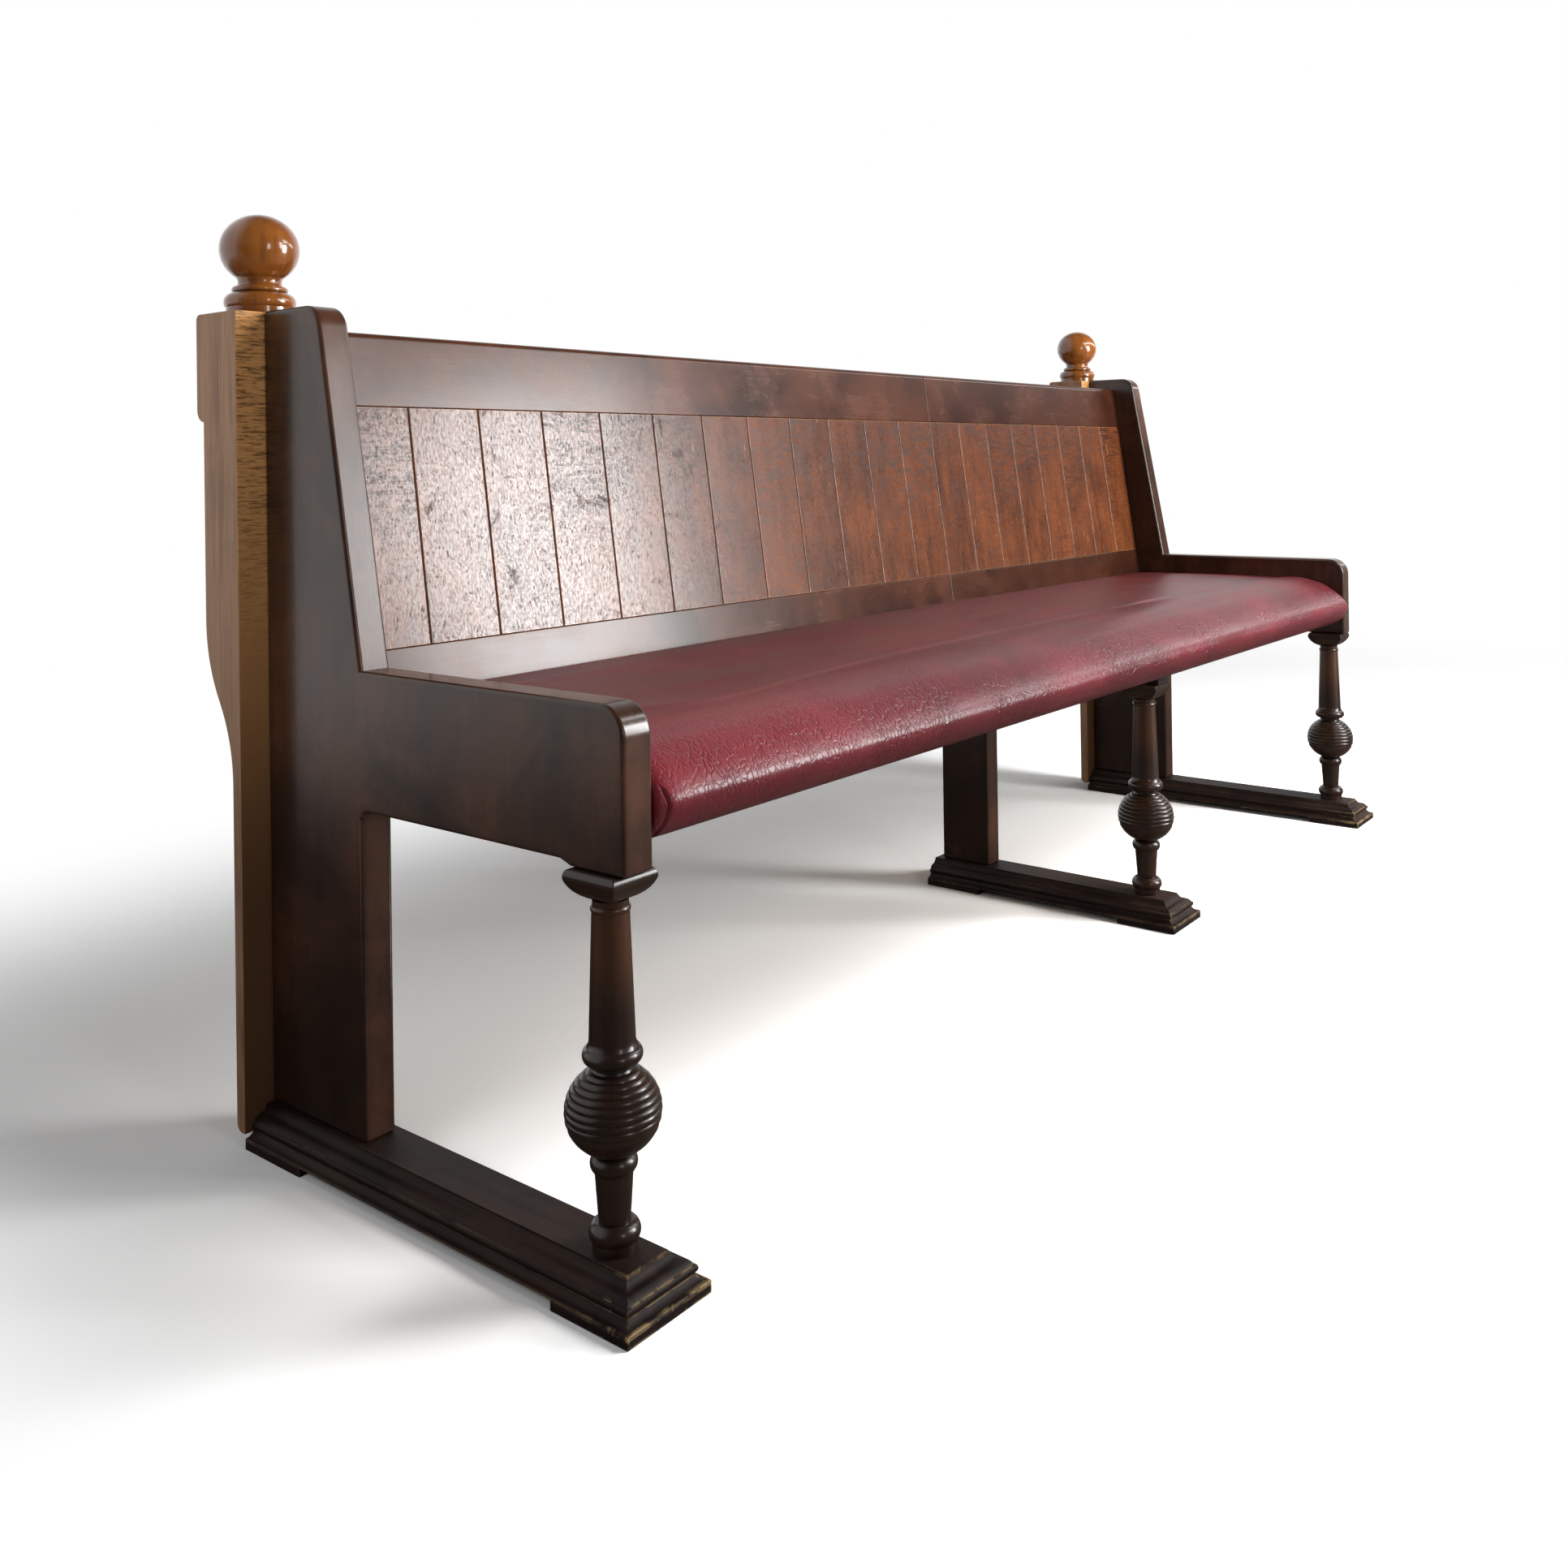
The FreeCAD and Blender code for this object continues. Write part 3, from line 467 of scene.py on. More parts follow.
def board_stain(name, colours):
    """Red-brown boards: a tone for each board, a mottled cross figure, old dents and dark smudges."""
    finish = Finish(name)
    tone = finish.node("ShaderNodeAttribute", {"attribute_name": BOARD_TONE}, out="Fac")
    spot = finish.vector_math("ADD", finish.place, finish.vector(X=tone * 3.1, Z=tone * 7.7))
    streaks = finish.noise(BOARD_STREAKS, spot)
    pores = finish.noise(BOARD_PORES, spot)
    clouds = finish.noise(BOARD_CLOUDS, spot)
    fibres = finish.noise(BOARD_FIBRES, spot)
    share = finish.step(streaks * 0.36 + clouds * 0.26 + fibres * 0.28 + tone * 0.10, 0.32, 0.64)
    # Painted shade: the boards turn darker towards their tops
    upper = finish.along("Z", 0.60, 0.80)
    figured = finish.spots(0.36, 0.54, BOARD_FIGURE, spot) * (0.45 + finish.along("Z", 0.62, 0.78) * 0.55)
    flames = finish.spots(0.47, 0.58, BOARD_FLAMES, spot) * figured
    smudges = finish.spots(0.57, 0.70, BOARD_SMUDGES, spot)
    specks = finish.spots(0.58, 0.67, BOARD_SPECKS, spot)
    scratches = finish.spots(0.72, 0.77, BOARD_SCRATCHES, spot)
    dents = finish.spots(0.66, 0.73, BOARD_DENTS, spot)
    grit = finish.spots(0.40, 0.60, BOARD_GRIT, spot)
    # Arrises in the worn colour, partly a painted glint
    edge = finish.arrises(0.0026, 0.05, 0.3)
    base = finish.coats(
        colours.board_dark, (share, colours.board_light), (upper * 0.28, colours.board_dark),
        (flames * 0.95, colours.board_dark), (smudges * 0.7, colours.rail_dark),
        (specks * 0.60, colours.panel_dark), (scratches * 0.45, colours.arris_wear_and_glint),
        (edge * 0.75, colours.arris_wear_and_glint), (dents * 0.7, colours.panel_dark))
    gloss = (0.04 + grit * 0.64) * (1 - specks) * (1 - smudges * 0.8) * (1 - dents)
    roughness = 0.16 + pores * 0.10 + fibres * 0.12 + smudges * 0.22 + flames * 0.12 + specks * 0.25
    height = pores * 0.25 + streaks * 0.35 - dents * 0.9 - flames * 0.15 - scratches * 0.5 - specks * 0.3
    normal = finish.bump(height, 0.0004, 0.45)
    return finish.done(
        base, roughness, normal, Specular_IOR_Level=0.30, Coat_Weight=gloss, Coat_Roughness=0.20)


def rail_stain(name, colours):
    """Dark red-brown rails with level grain and dull patches, darker to the right."""
    finish = Finish(name)
    streaks, pores, clouds = grained(finish, "x")
    share = finish.step(streaks * 0.08 + clouds * 0.87 + pores * 0.05, 0.34, 0.66)
    patches = finish.spots(0.46, 0.74, RAIL_PATCHES)
    # The arrises take the worn colour, which is partly a painted glint
    base = finish.coats(
        colours.rail_dark, (share, colours.rail_light), (patches * 0.28, colours.board_light),
        (finish.along("X", -0.2, 0.6) * 0.60, colours.rail_dark),
        (finish.arrises(0.0016, 0.05, 0.3) * 0.55, colours.arris_wear_and_glint))
    roughness = 0.17 + pores * 0.08 + clouds * 0.08 + patches * 0.06
    normal = finish.bump(pores * 0.4 + streaks * 0.6, 0.0002, 0.35)
    return finish.done(
        base, roughness, normal, Specular_IOR_Level=0.34, Coat_Weight=0.12, Coat_Roughness=0.16)


def post_stain(name, colours):
    """Brown posts: plain upright grain on the sides, level flecks on the front and back."""
    finish = Finish(name)
    streaks, pores, clouds = grained(finish, "z")
    share = finish.step(streaks * 0.35 + clouds * 0.30 + pores * 0.35, 0.26, 0.62)
    bars = finish.spots(0.46, 0.62, POST_FLECKS) * finish.along("Z", 0.45, 0.80)
    # Painted shade: the posts turn darker towards the bottom, on the front and on the sides
    low = 1 - finish.along("Z", 0.25, 0.86)
    gold = finish.coats(
        colours.post_gold, (bars * 0.85, colours.post_dark), (clouds * 0.20, colours.post_dark),
        (low * 0.90, colours.rail_dark))
    plain = finish.coats(colours.post_dark, (share, colours.post_light), (low * 0.45, colours.post_dark))
    # Arrises in the worn colour, partly a painted highlight line
    edge = finish.arrises(0.002, 0.05, 0.3)
    base = finish.coats(gold, (finish.sideways(), plain), (edge * 0.7, colours.arris_wear_and_glint))
    roughness = 0.36 + pores * 0.14 + clouds * 0.08
    normal = finish.bump(pores * 0.4 + streaks * 0.6, 0.0004, 0.5)
    return finish.done(
        base, roughness, normal, Specular_IOR_Level=0.35, Coat_Weight=0.08, Coat_Roughness=0.25)


def finial_stain(name, colours):
    """Golden turned wood under thick gloss."""
    finish = Finish(name)
    streaks, pores, clouds = grained(finish, "z")
    share = finish.step(streaks * 0.5 + clouds * 0.5, 0.30, 0.66)
    # The hollows darken with dirt and painted shade
    base = finish.coats(
        colours.finial_dark, (share, colours.finial_light), (finish.hollows(0.012) * 0.8, colours.leg_dark))
    normal = finish.bump(finish.noise(FINIAL_RIPPLE) * 0.6 + pores * 0.4, 0.0002, 0.4)
    return finish.done(base, 0.16 + pores * 0.06, normal, Coat_Weight=0.8, Coat_Roughness=0.05)


def leg_stain(name, colours):
    """Dark turned wood: brown on the swells, nearly black in the grooves."""
    finish = Finish(name)
    streaks, pores, clouds = grained(finish, "z")
    share = finish.step(streaks * 0.45 + clouds * 0.55, 0.32, 0.70)
    # Warm stain and painted sheen on the shafts
    shaft = finish.along("Z", 0.25, 0.31) * (1 - finish.along("Z", 0.33, 0.385))
    # The hollows darken with dirt and painted shade
    base = finish.coats(
        colours.leg_dark, (share, colours.leg_light), (shaft * (0.25 + clouds * 0.5), colours.shaft_stain_and_sheen),
        (finish.hollows(0.008) * 0.9, colours.foot_dark))
    normal = finish.bump(pores * 0.5 + streaks * 0.5, 0.00025, 0.4)
    return finish.done(
        base, 0.26 + pores * 0.12, normal, Specular_IOR_Level=0.38, Coat_Weight=0.25, Coat_Roughness=0.12)


def foot_stain(name, colours):
    """Black-brown mouldings whose arrises are kicked down to the bare wood."""
    finish = Finish(name)
    streaks, pores, clouds = grained(finish, "y")
    share = finish.step(streaks * 0.5 + clouds * 0.5, 0.36, 0.72)
    low = 1 - finish.along("Z", 0.020, 0.045)
    toe = 1 - finish.along("Y", -0.325, -0.26)
    scuffs = finish.spots(0.44, 0.58, FOOT_SCUFFS)
    worn = finish.arrises(0.0026, 0.03, 0.16) * scuffs * (0.05 + low * 0.60 + toe * 0.20)
    kicks = finish.spots(0.46, 0.56, FOOT_KICKS)
    bare = finish.arrises(0.0055, 0.05, 0.18) * toe * (0.25 + low * 0.75) * kicks
    dust = finish.step(finish.part_of(finish.normal, "Z"), 0.2, 0.9) * finish.step(clouds, 0.40, 0.70)
    base = finish.coats(
        colours.foot_dark, (share, colours.foot_light), (worn, colours.raw_wood), (bare, colours.raw_wood),
        (dust * 0.03, colours.post_light))
    roughness = 0.44 + pores * 0.14 + clouds * 0.10
    normal = finish.bump(pores * 0.4 + clouds * 0.6, 0.0004, 0.5)
    return finish.done(base, roughness, normal, Specular_IOR_Level=0.15)


def sawn_wood(name, axis, colours):
    """Plain sawn softwood under the seat and behind the back."""
    finish = Finish(name)
    streaks, pores, clouds = grained(finish, axis)
    share = finish.step(streaks * 0.7 + clouds * 0.3, 0.34, 0.66)
    base = finish.blend(share, colours.sawn_dark, colours.sawn_light)
    normal = finish.bump(pores * 0.6 + streaks * 0.4, 0.0005, 0.6)
    return finish.done(base, 0.62 + pores * 0.2, normal, Specular_IOR_Level=0.3)


def seat_vinyl(name, colours, sizes):
    """Grained vinyl with a net of fine creases, browned on top and chipped at one spot of its lip."""
    finish = Finish(name)
    waver = {"Vector": finish.place, "Scale": 40.0, "Detail": 3.0}
    warp = finish.node("ShaderNodeTexNoise", None, waver, out=1)
    drift = finish.node("ShaderNodeVectorMath", {"operation": "SCALE"}, {0: warp, "Scale": 0.012})
    drawn = finish.stretched(finish.vector_math("ADD", finish.place, drift), (1.35, 0.75, 0.75))

    def net(scale, width):
        cells = {"Vector": drawn, "Scale": scale, "Randomness": 1.0}
        gap = finish.node("ShaderNodeTexVoronoi", {"feature": "DISTANCE_TO_EDGE"}, cells)
        return 1 - finish.step(gap, 0.0, width)

    creases = net(105, 0.14)
    pebbles = net(340, 0.30)
    clouds = finish.noise(VINYL_CLOUDS)
    rubbed = finish.noise(VINYL_RUBBED)
    nose = 1 - finish.along("Y", -0.300, -0.235)
    patchy = finish.spots(0.35, 0.62, VINYL_PATCHES) * (0.20 + nose * 0.80)
    share = finish.step(clouds * 0.5 + rubbed * 0.5, 0.30, 0.72)
    sat = finish.spots(0.40, 0.62, VINYL_SAT) * (1 - nose)
    upward = finish.part_of(finish.normal, "Z")
    # Painted light: the upward slope to the nose is brightened towards the left end
    slope = (1 - finish.along("Y", -0.27, -0.10)) * finish.step(upward, 0.3, 0.8)
    lit_left_end = 1 - finish.along("X", -0.95, -0.35)
    # Painted shade: darker where the cover turns under
    under = 1 - finish.step(upward, -0.7, 0.3)
    aside = finish.stretched(finish.vector_math("SUBTRACT", finish.place, sizes.chip), (0.45, 1, 1))
    away = finish.vector_math("LENGTH", aside, out="Value")
    torn = 1 - finish.step(away + finish.noise(VINYL_TEAR) * 0.006, 0.0060, 0.0085)
    base = finish.coats(
        colours.vinyl_dark, (share, colours.vinyl_light), (sat * 0.50, colours.vinyl_worn),
        (slope * lit_left_end * 0.50, colours.vinyl_painted_light), (under * 0.6, colours.vinyl_dark),
        (creases * patchy * 0.35, colours.vinyl_dark), (torn, colours.vinyl_back))
    roughness = 0.30 - nose * 0.08 + clouds * 0.10 + rubbed * 0.10 + torn * 0.3
    height = 0.8 - creases * (0.08 + patchy * 0.75) - pebbles * 0.12 - torn * 0.5 + rubbed * 0.15
    normal = finish.bump(height, 0.0009, 0.75)
    return finish.done(
        base, roughness, normal, Specular_IOR_Level=0.36, Coat_Weight=0.10, Coat_Roughness=0.30)


def zinc_plate(name, colours):
    """Zinc-plated steel with a dull grain."""
    finish = Finish(name)
    grain = finish.noise(ZINC_GRAIN)
    base = finish.blend(finish.noise(ZINC_CLOUDS) * 0.5, colours.zinc, colours.panel_light)
    return finish.done(base, 0.32 + grain * 0.2, finish.bump(grain, 0.00005, 0.5), Metallic=1.0)


def placed(name, data):
    """Adds an object for a mesh, a lamp or a camera."""
    item = bpy.data.objects.new(name, data)
    bpy.context.scene.collection.objects.link(item)
    return item


def unloaded(shape, mesh):
    """Writes an edited shape into a mesh."""
    shape.to_mesh(mesh)
    shape.free()
    return mesh


def repainted(mesh, material):
    """Leaves a mesh with one material."""
    mesh.materials.clear()
    mesh.materials.append(material)


def baked(piece):
    """Turns a piece's modifiers into its mesh."""
    depsgraph = bpy.context.evaluated_depsgraph_get()
    mesh = bpy.data.meshes.new_from_object(piece.evaluated_get(depsgraph))
    piece.modifiers.clear()
    piece.data = mesh


def shaded(mesh, angle):
    """Smooth shading that stays sharp past an angle."""
    mesh.shade_smooth()
    mesh.set_sharp_from_angle(angle=angle)
    return mesh


def flattened(mesh):
    """Gives each flat its own normal at every corner, so that it shades flat up to its arrises."""
    flats = mesh.attributes.get(FLAT)
    if flats is None:
        return
    normals = [corner.vector.copy() for corner in mesh.corner_normals]
    for face, flat in zip(mesh.polygons, flats.data):
        if flat.value:
            for corner in face.loop_indices:
                normals[corner] = face.normal.copy()
    mesh.normals_split_custom_set(normals)


def keep(name, mesh, material, nodes, flats=True):
    """Adds a finished mesh as a piece that stands for CAD nodes. Its flats shade flat."""
    piece = placed(name, mesh)
    repainted(mesh, material)
    if flats:
        normals = piece.modifiers.new("Normals", "WEIGHTED_NORMAL")
        normals.keep_sharp = True
        baked(piece)
        flattened(piece.data)
    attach(piece, BODY)
    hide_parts(*nodes)
    return piece


def is_flat(face):
    """True for a face that dwarfs the facets which run on from it in a curve."""
    area = face.calc_area()
    for edge in face.edges:
        if edge.is_manifold and edge.calc_face_angle() <= CREASE:
            others = (other for other in edge.link_faces if other is not face)
            if any(other.calc_area() * FLAT_SHARE > area for other in others):
                return False
    return True


def merged(node):
    """The mesh of a CAD node as a joined copy."""
    shape = bmesh.new()
    shape.from_mesh(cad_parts[node].data)
    bmesh.ops.remove_doubles(shape, verts=shape.verts, dist=SAME_POINT)
    return shape


def softened(node, width):
    """Copy of a CAD node whose sharp arrises are rounded."""
    shape = merged(node)
    bmesh.ops.dissolve_limit(shape, angle_limit=SAME_PLANE, verts=shape.verts, edges=shape.edges)
    flat = shape.faces.layers.int.new(FLAT)
    for face in shape.faces:
        face[flat] = is_flat(face)
    sharp = [edge for edge in shape.edges
             if edge.is_manifold and edge.is_convex and edge.calc_face_angle() > CREASE]
    rounds = bmesh.ops.bevel(
        shape, geom=sharp, offset=width, offset_type="OFFSET", segments=ARRIS_STEPS, profile=ROUND,
        affect="EDGES", clamp_overlap=False)
    for face in rounds["faces"]:
        face[flat] = False
    bmesh.ops.triangulate(shape, faces=[face for face in shape.faces if len(face.verts) > 4])
    return shaded(unloaded(shape, bpy.data.meshes.new(node)), SMOOTH_BELOW)


def dress(nodes, width, material):
    """Stands rounded copies for CAD nodes, under the nodes' names with a suffix."""
    for node in nodes:
        keep(node + ".dressed", softened(node, width), material, [node])


def paint(nodes, material):
    """Gives CAD nodes that stay as they are a better material."""
    for node in nodes:
        repainted(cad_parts[node].data, material)


def grown(name, graph, inputs, source=None):
    """Evaluates a node tree on an empty or given mesh and returns the plain mesh."""
    holder = placed(name, source or bpy.data.meshes.new(name))
    modifier = holder.modifiers.new(name, "NODES")
    modifier.node_group = graph.tree
    for socket in graph.tree.interface.items_tree:
        if socket.in_out == "INPUT" and socket.name in inputs:
            modifier[socket.identifier] = inputs[socket.name]
    depsgraph = bpy.context.evaluated_depsgraph_get()
    mesh = bpy.data.meshes.new_from_object(holder.evaluated_get(depsgraph))
    holder.modifiers.remove(modifier)
    bpy.data.objects.remove(holder)
    mesh.name = name
    return mesh


def node_group(name, **sockets):
    """Empty geometry tree with named inputs and one geometry output. Returns it and its inputs."""
    tree = bpy.data.node_groups.new(name, "GeometryNodeTree")
    tree.interface.new_socket("Geometry", in_out="OUTPUT", socket_type="NodeSocketGeometry")
    for label, kind in sockets.items():
        tree.interface.new_socket(label, in_out="INPUT", socket_type="NodeSocket" + kind)
    graph = Graph(tree)
    entry = tree.nodes.new("NodeGroupInput")
    return graph, {label: Value(graph, entry.outputs[label]) for label in sockets}


def joined(graph, *parts):
    """Joins geometries in a tree."""
    whole = graph.node("GeometryNodeJoinGeometry")
    for part in parts:
        graph.tree.links.new(part.socket, whole.socket.node.inputs[0])
    return whole


def ended(graph, geometry, material):
    """Ends a tree in one material."""
    painted = graph.node("GeometryNodeSetMaterial", None, {"Geometry": geometry, "Material": material})
    graph.node("NodeGroupOutput", None, {"Geometry": painted})
    return graph


def board_run_tree(material):
    """A run of boards with rounded arrises, side by side on a leaning plane."""
    graph, given = node_group(
        "board_run", Count="Int", Pitch="Float", Length="Float", Thickness="Float", Arris="Float",
        First="Float", Base="Float", Foot="Vector", Lean="Float", Seed="Int")
    section = graph.node("GeometryNodeCurvePrimitiveQuadrilateral", None, {
        "Width": given["Pitch"], "Height": given["Thickness"]})
    outline = graph.node("GeometryNodeFilletCurve", {"mode": "POLY"}, {
        "Curve": section, "Radius": given["Arris"], "Count": ARRIS_STEPS, "Limit Radius": True})
    face = graph.node("GeometryNodeFillCurve", {"mode": "NGONS"}, {"Curve": outline})
    top = graph.node("GeometryNodeExtrudeMesh", None, {
        "Mesh": face, "Offset": graph.vector(Z=given["Length"]), "Offset Scale": 1.0, "Individual": False})
    bottom = graph.node("GeometryNodeFlipFaces", None, {"Mesh": face})
    closed = graph.node("GeometryNodeMergeByDistance", None, {
        "Geometry": joined(graph, top, bottom), "Distance": SAME_POINT})
    start = graph.vector(
        X=given["First"] + given["Pitch"] * 0.5, Y=given["Thickness"] * 0.5, Z=given["Base"])
    row = graph.node("GeometryNodeMeshLine", None, {
        "Count": given["Count"], "Start Location": start, "Offset": graph.vector(X=given["Pitch"])})
    boards = graph.node("GeometryNodeInstanceOnPoints", None, {"Points": row, "Instance": closed})
    tone = graph.node("FunctionNodeRandomValue", {"data_type": "FLOAT"}, {"Seed": given["Seed"]}, out=1)
    toned = graph.node("GeometryNodeStoreNamedAttribute", {"data_type": "FLOAT", "domain": "INSTANCE"}, {
        "Geometry": boards, "Name": BOARD_TONE, "Value": tone})
    real = graph.node("GeometryNodeRealizeInstances", None, {"Geometry": toned})
    leaned = graph.node("GeometryNodeTransform", None, {
        "Geometry": real, "Translation": given["Foot"], "Rotation": graph.vector(X=given["Lean"])})
    return ended(graph, leaned, material)


def screw_tree(material, length, head_height, tip_length):
    """Countersunk slotted screws on points, each aimed along its own line."""
    graph, given = node_group("screws", Points="Geometry", Head="Float", Shank="Float", Seed="Int")
    head = graph.node("GeometryNodeMeshCone", None, {
        "Vertices": HEAD_SIDES, "Radius Top": given["Shank"], "Radius Bottom": given["Head"],
        "Depth": head_height})
    slot = graph.node("GeometryNodeMeshCube", None, {"Size": SCREW_SLOT})
    slotted = graph.node("GeometryNodeMeshBoolean", {"operation": "DIFFERENCE"}, {
        "Mesh 1": head, "Mesh 2": slot})
    body = graph.node("GeometryNodeMeshCylinder", None, {
        "Vertices": SHANK_SIDES, "Radius": given["Shank"], "Depth": length - head_height - tip_length})
    raised = graph.node("GeometryNodeTransform", None, {
        "Geometry": body, "Translation": (0, 0, (length + head_height - tip_length) / 2)})
    point = graph.node("GeometryNodeMeshCone", None, {
        "Vertices": SHANK_SIDES, "Radius Top": 0.0, "Radius Bottom": given["Shank"], "Depth": tip_length})
    pointed = graph.node("GeometryNodeTransform", None, {
        "Geometry": point, "Translation": (0, 0, length - tip_length)})
    aim = graph.node("GeometryNodeInputNamedAttribute", {"data_type": "FLOAT_VECTOR"}, {"Name": "aim"})
    turn = graph.node("FunctionNodeAlignRotationToVector", {"axis": "Z"}, {"Vector": aim})
    spin = graph.node("FunctionNodeRandomValue", {"data_type": "FLOAT"}, {
        "Max": math.tau, "Seed": given["Seed"]}, out=1)
    about = graph.node("FunctionNodeEulerToRotation", None, {"Euler": graph.vector(Z=spin)})
    spun = graph.node("FunctionNodeRotateRotation", {"rotation_space": "LOCAL"}, {
        "Rotation": turn, "Rotate By": about})
    screws = graph.node("GeometryNodeInstanceOnPoints", None, {
        "Points": given["Points"], "Instance": joined(graph, slotted, raised, pointed), "Rotation": spun})
    real = graph.node("GeometryNodeRealizeInstances", None, {"Geometry": screws})
    return ended(graph, real, material)


def screw_lines(node):
    """Head centre and point of every screw in a CAD node."""
    shape = merged(node)
    left = set(shape.verts)
    lines = []
    while left:
        front = [left.pop()]
        solid = []
        while front:
            vertex = front.pop()
            solid.append(vertex.co.copy())
            near = {edge.other_vert(vertex) for edge in vertex.link_edges} & left
            left -= near
            front.extend(near)
        middle = sum(solid, Vector()) / len(solid)
        tip = max(solid, key=lambda point: (point - middle).length)
        reach = max((point - tip).length for point in solid)
        rim = [point for point in solid if (point - tip).length > reach * RIM_SHARE]
        lines.append((sum(rim, Vector()) / len(rim), tip))
    shape.free()
    return sorted(lines, key=lambda line: tuple(round(value, 4) for value in line[0]))


def choices(context):
    """The user's sizes and colours."""
    return context.scene.bench_sizes, context.scene.bench_colours


class BENCH_OT_end_frames(bpy.types.Operator):
    """Panels and the middle frame's upright in dark gloss"""

    bl_idname = "bench.end_frames"
    bl_label = "End frames"

    def execute(self, context):
        sizes, colours = choices(context)
        panels = ["%s_end_panel" % side for side in ENDS] + ["centre_upright"]
        dress(panels, sizes.panel_arris, dark_stain("dark_gloss_stain", colours))
        return {"FINISHED"}


class BENCH_OT_posts(bpy.types.Operator):
    """Rear posts in brown satin"""

    bl_idname = "bench.posts"
    bl_label = "Rear posts"

    def execute(self, context):
        sizes, colours = choices(context)
        posts = ["%s_rear_post" % side for side in ENDS]
        dress(posts, sizes.arris, post_stain("post_stain", colours))
        return {"FINISHED"}


class BENCH_OT_turnings(bpy.types.Operator):
    """Finials, turned legs and their capitals"""

    bl_idname = "bench.turnings"
    bl_label = "Turnings"

    def execute(self, context):
        sizes, colours = choices(context)
        leg = leg_stain("leg_stain", colours)
        paint(["%s_finial" % side for side in ENDS], finial_stain("finial_gloss", colours))
        paint(["%s_front_leg" % side for side in SIDES], leg)
        dress(["%s_leg_capital" % side for side in SIDES], sizes.arris, leg)
        return {"FINISHED"}


class BENCH_OT_feet(bpy.types.Operator):
    """Moulded feet and plinth pads with worn arrises"""

    bl_idname = "bench.feet"
    bl_label = "Feet"

    def execute(self, context):
        sizes, colours = choices(context)
        stain = foot_stain("foot_stain", colours)
        dress(["%s_foot" % side for side in SIDES], sizes.moulding_arris, stain)
        pads = ["%s_%s_pad" % (side, end) for side in SIDES for end in ("front", "rear")]
        dress(pads, sizes.arris, stain)
        return {"FINISHED"}


class BENCH_OT_back(bpy.types.Operator):
    """Rails and the two runs of grooved boards"""

    bl_idname = "bench.back"
    bl_label = "Back"

    def execute(self, context):
        sizes, colours = choices(context)
        rails = ["%s_%s_rail" % (side, level) for side in ENDS for level in ("top", "bottom")]
        dress(rails, sizes.arris / 2, rail_stain("rail_stain", colours))
        stain = board_stain("board_stain", colours)
        tree = board_run_tree(stain)
        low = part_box("left_bottom_rail")[0]
        foot = (0, low.y, low.z + sizes.rail_thickness * math.sin(sizes.back_lean))
        for side, nodes in zip(ENDS, (LEFT_BOARDS, RIGHT_BOARDS)):
            name = "%s_back_boards" % side
            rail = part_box("%s_bottom_rail" % side)
            inputs = {
                "Count": len(nodes), "Pitch": (rail[1].x - rail[0].x) / len(nodes),
                "Length": sizes.board_length, "Thickness": sizes.board_thickness,
                "Arris": sizes.board_arris, "First": rail[0].x, "Base": sizes.rail_height,
                "Foot": foot, "Lean": -sizes.back_lean, "Seed": sizes.board_seed + len(nodes),
            }
            keep(name, shaded(grown(name, tree, inputs), SMOOTH_BELOW), stain, nodes)
        return {"FINISHED"}


class BENCH_OT_underframe(bpy.types.Operator):
    """Seat frame, cleats, battens, stile, bearer and plywood"""

    bl_idname = "bench.underframe"
    bl_label = "Underframe"

    def execute(self, context):
        colours = context.scene.bench_colours
        lengthwise = ["seat_front_rail", "seat_rear_rail", "lower_batten", "upper_batten", "seat_panel"]
        paint(lengthwise, sawn_wood("sawn_long", "x", colours))
        across = ["seat_cross_rails", "left_seat_cleat", "right_seat_cleat"]
        paint(across, sawn_wood("sawn_deep", "y", colours))
        paint(["centre_bearer"], foot_stain("bearer_stain", colours))
        paint(["centre_stile"], sawn_wood("sawn_upright", "z", colours))
        return {"FINISHED"}


class BENCH_OT_screws(bpy.types.Operator):
    """Slotted wood screws"""

    bl_idname = "bench.screws"
    bl_label = "Screws"

    def execute(self, context):
        sizes, colours = choices(context)
        zinc = zinc_plate("zinc_plate", colours)
        inputs = {"Head": sizes.screw_head, "Shank": sizes.screw_shank, "Seed": sizes.screw_seed}
        for node in ("short_screws", "long_screws"):
            by_length = {}
            for head, tip in screw_lines(node):
                by_length.setdefault(round((tip - head).length, 4), []).append((head, tip))
            screws = bmesh.new()
            for length, members in sorted(by_length.items()):
                points = bpy.data.meshes.new(node)
                points.from_pydata([head for head, tip in members], [], [])
                aims = points.attributes.new("aim", "FLOAT_VECTOR", "POINT")
                for item, (head, tip) in zip(aims.data, members):
                    item.vector = (tip - head).normalized()
                head_height = sizes.screw_head - sizes.screw_shank
                tree = screw_tree(zinc, length, head_height, sizes.screw_shank * 2)
                screws.from_mesh(grown(node, tree, inputs, points))
            mesh = unloaded(screws, bpy.data.meshes.new(node))
            keep(node + ".dressed", shaded(mesh, SCREW_SMOOTH_BELOW), zinc, [node])
        return {"FINISHED"}


def eased(value):
    """Smooth step of a share that is held between 0 and 1."""
    share = max(0.0, min(1.0, value))
    return share * share * (3 - 2 * share)


def evened(piece, rounds, group=""):
    """Smooths a piece, or the points of one vertex group."""
    even = piece.modifiers.new("Even", "SMOOTH")
    even.vertex_group = group
    even.factor = SMOOTHING
    even.iterations = rounds


def remeshed(piece, form, voxel):
    """Even quads all over a piece, drawn back onto the form that they come from."""
    grid = piece.modifiers.new("Grid", "REMESH")
    grid.mode = "VOXEL"
    grid.voxel_size = voxel
    wrap = piece.modifiers.new("Wrap", "SHRINKWRAP")
    wrap.wrap_method = "NEAREST_SURFACEPOINT"
    wrap.target = form
    evened(piece, GRID_ROUNDS)
    baked(piece)


